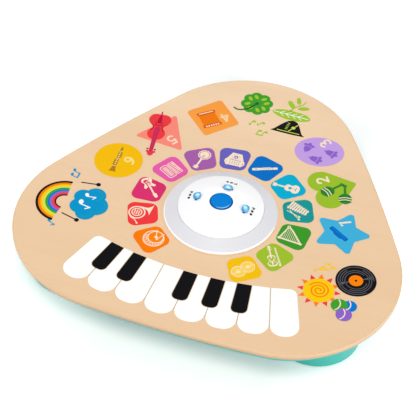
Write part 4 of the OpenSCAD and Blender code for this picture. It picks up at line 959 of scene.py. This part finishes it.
def makeLeafMotif():
    # a four-leaved clover and a metronome, at the back
    middle = (-19, 203)
    leaves, lights = [], []
    for angle in (40, 130, 220, 310):
        leaves += [oval(polar(13.4, angle + side, middle), 7.6) for side in (-21, 21)]
        leaves.append(line([middle, polar(12, angle, middle)], 6, 12))
        lights += [oval(polar(12.4, angle + side, middle), 4.2, 2.4, angle) for side in (-20, 20)]
    makePrint("clover", "leaf", leaves)
    makePrint("clover_light", "lime", lights, layer=2)
    stem = line(curve([middle, (-27, 190), (-38, 184), (-45, 186)]), 2.4, 1.6)
    makePrint("clover_stem", "forest", [stem, oval(middle, 2.6)], layer=2)
    case = curve([(15, 163), (54, 164), (52, 168), (41, 186.6), (29, 186), (16, 167)], closed=True, steps=3)
    makePrint("metronome", "black", [case])
    scale = [line([(34.6, 168), (43, 182)], 1.3), block((39, 175.4), 5, 3.6, 0.8, -30),
             block((34.6, 166.4), 30, 1.2, 0.4, 1)]
    scale += [block((30.4 + 0.2 * i, 171 + 2.8 * i), 3.6, 0.8, 0.3) for i in range(5)]
    makePrint("metronome_scale", "pale lime", scale, layer=2)
    blade = curve([(4, 198), (16, 205), (34, 205.6), (48, 204), (55, 197), (46, 191), (30, 188.6), (14, 191)],
                  closed=True)
    makePrint("long_leaf", "lime", [blade])
    veins = [line([(6, 198), (52, 197.4)], 1.1)]
    veins += [line([(x, 197.8), (x + 6, 197.8 + s * 5)], 0.8) for x in (14, 22, 30, 38) for s in (-1, 1)]
    makePrint("long_leaf_veins", "white", veins, layer=2)
    twig = line(curve([(26, 205), (30, 214), (38, 222), (40, 229)]), 1.8, 1)
    makePrint("sprig", "lime", [twig, oval((24, 217), 8, 3.4, 130), oval((41, 215), 7.4, 3.2, 20),
                                oval((31, 227), 6.4, 2.8, 110)])
    small = eighthNote((-14, 166), 170, 0.9) + eighthNote((-3, 168), 150, 0.9)
    makePrint("leaf_notes", "lime", small + pairedNotes((3, 152.5), 170, 0.9))


def makeSunMotif():
    # a record, a sun and three balls, at the right
    record = (186, -49)
    makePrint("record", "black", [oval(record, 24.5, count=48)])
    grooves = [band(record, radius, 0.9, start, start + 300, 40)
               for radius, start in ((21.6, 20), (18.8, 140), (16, 260), (13.2, 60))]
    makePrint("record_grooves", "grey", grooves, layer=2)
    makePrint("record_label", "orange", [oval(record, 8.6)], [oval(record, 1.6, count=14)], layer=3)
    shine = [flare((189, -47), (203, -38), 0.8, 6), flare((183, -51), (169, -60), 0.8, 6)]
    makePrint("record_shine", "grey", shine, layer=2)
    sun = (149, -79)
    rays = [moved([(19, 3.2), (26, 0), (19, -3.2)], sun, 30 * i + 8) for i in range(12)]
    makePrint("sun_rays_red", "red", rays[0::2])
    makePrint("sun_rays_orange", "orange", rays[1::2])
    makePrint("sun", "yellow", [oval(sun, 18.6, count=40)])
    spiral = [polar(2 + 11 * i / 40, 22 * i, sun) for i in range(41)]
    makePrint("sun_swirl", "orange", [line(spiral, 1.7)], layer=2)
    for name, ink, at, radius, layer in (("ball_green", "leaf", (178, -93), 10, 2),
                                         ("ball_blue", "blue", (190, -90), 8.6, 1),
                                         ("ball_purple", "purple", (187, -105), 9.6, 3)):
        makePrint(name, ink, [oval(at, radius)], layer=layer)
        stripe = band((at[0] - radius, at[1]), radius * 1.1, 1.4, -48, 48, 12)
        makePrint(name + "_stripe", "cream", [stripe], layer=4)
    small = pairedNotes((150, -39), 150, 0.95) + eighthNote((139, -48), 140, 1)
    makePrint("sun_notes", "yellow", small)


makeSkyMotif()
makeLeafMotif()
makeSunMotif()
print("motifs made")


def topOutlines(piece):
    # the outline of each separate patch of a printed piece, in mm from the middle of the play centre
    shape = bmesh.new()
    shape.from_mesh(piece.data)
    left, outlines = set(shape.verts), []
    while left:
        found, patch = [left.pop()], []
        while found:
            vert = found.pop()
            patch.append((vert.co.x / mm, (vert.co.y - playCentreY) / mm))
            near = {edge.other_vert(vert) for edge in vert.link_edges} & left
            left -= near
            found += near
        patch.sort()      # since a set has no fixed order
        outlines.append([patch[k] for k in convex_hull_2d(patch)])
    shape.free()
    return sorted(outlines)


keySet = {    # mm
    "outline": 0.75,         # width of the line round a black key
    "grooveWidth": 1.2,
    "grooveLength": 59.5,
    "grooveRounding": 0.1,
    "grooveShift": 6.5,      # of a groove's middle, away from the child
    # the grooves between the white keys: place, and slant in degrees
    "grooves": [((-107.3, -130.5), -13.6), ((-72.8, -137.2), -8.0), ((-37.3, -141.3), -2.3),
                ((-1.2, -142.7), 0.0), ((34.9, -141.3), 3.5), ((70.4, -137.2), 8.2),
                ((104.9, -130.5), 16.2)],
}


def makeKeyOutlines(values):
    # the wood shows as a fine line round each black key, and darker in the grooves between the white ones
    keys = topOutlines(nodes["black_key_prints"])
    grown = []
    for loop in keys:
        wide = []
        for a, b in zip(loop, loop[1:] + loop[:1]):
            out = Vector((b[1] - a[1], a[0] - b[0])).normalized() * values["outline"]
            if out.length > 0:
                wide += [(a[0] + out.x, a[1] + out.y), (b[0] + out.x, b[1] + out.y)]
        grown.append(wide)
    makePrint("black_key_outlines", "pale tan", grown, keys)
    size = (values["grooveWidth"], values["grooveLength"], values["grooveRounding"])
    grooves = [block(polar(values["grooveShift"], 90 + slant, at), *size, slant)
               for at, slant in values["grooves"]]
    makePrint("key_grooves", "tan", grooves, keys)


makeKeyOutlines(keySet)


dialMarks = {    # place in mm from the middle of the play centre, and turn of the row
    "left": ((-40.6, 1.5), 90),
    "right": ((39.4, 1.5), 90),
    "back": ((0.3, 38.9), 0),
}


def makeDialMarks(marks):
    # beside each slide knob stand a dot, a blob with a short bar, and three rising bars
    dome = BVHTree.FromObject(nodes["dome_cover"], bpy.context.evaluated_depsgraph_get())

    def domeSurface(x, y):
        return dome.ray_cast(Vector((x, y, domeHigh.z + 0.1)), Vector((0, 0, -1)))[0].z

    row = [oval((-5, 0), 1.7, count=14), oval((0, 0), 1.9, 1.5, count=14), block((1.2, 0.8), 2.2, 1, 0.3, 35)]
    row += [block((4 + 1.3 * i, -0.5 + 0.35 * i), 1, 2 + 0.9 * i, 0.3) for i in range(3)]
    for side, (at, turn) in marks.items():
        makePrint("marks_" + side, "black", [moved(loop, at, turn) for loop in row], surface=domeSurface)


makeDialMarks(dialMarks)
print("outlines and marks made")


floorSet = {
    "half": 6,               # half its side, metres
    "color": (0.93, 0.95, 0.95, 1),
    "roughness": 0.8,
    "shine": 0.1,
    "glow": (0.93, 0.93, 0.93, 1),
    # where each glow begins and ends, in metres, and its strength there; the left and right glows are painted
    # light that lifts the table's shadow off the floor beside it, and the far glow whitens the far floor
    "leftPaintedLight": (-0.08, -0.24, 0, 0.21),
    "rightPaintedLight": (0.12, 0.23, 0.17, 0.6),
    "farGlow": (0.6, 1.5, 0, 0.6),
}


def makeFloor(values):
    corners = [(x * values["half"], y * values["half"], 0) for x, y in ((-1, -1), (1, -1), (1, 1), (-1, 1))]
    mesh = bpy.data.meshes.new("floor")
    mesh.from_pydata(corners, [], [(0, 1, 2, 3)])
    floor = addObject("floor", mesh)
    made, tree, shader = newMaterial("floor")
    setInputs(tree, shader, Base_Color=values["color"], Roughness=values["roughness"],
              Specular_IOR_Level=values["shine"])
    place = addNode(tree, "TexCoord").outputs["Object"]
    side, far = splitPlace(tree)[0], calcVector(tree, "LENGTH", place)["Value"]
    # painted light: glow beside the table to the left and right lifts its shadow on the floor
    left, right = (spread(tree, side, *values[name]) for name in ("leftPaintedLight", "rightPaintedLight"))
    strength = calc(tree, "ADD", calc(tree, "ADD", left, right), spread(tree, far, *values["farGlow"]))
    glow = addNode(tree, "Emission", values["glow"], strength).outputs[0]
    none = addNode(tree, "Emission", (0, 0, 0, 1), 0.0).outputs[0]
    seen = addNode(tree, "MixShader", seenRays(tree), none, glow).outputs[0]
    total = addNode(tree, "AddShader", shader.outputs[0], seen).outputs[0]
    tree.links.new(total, tree.nodes["Material Output"].inputs[0])
    floor.data.materials.append(made)


makeFloor(floorSet)
print("floor made")

bpy.context.scene.view_settings.view_transform = "Standard"
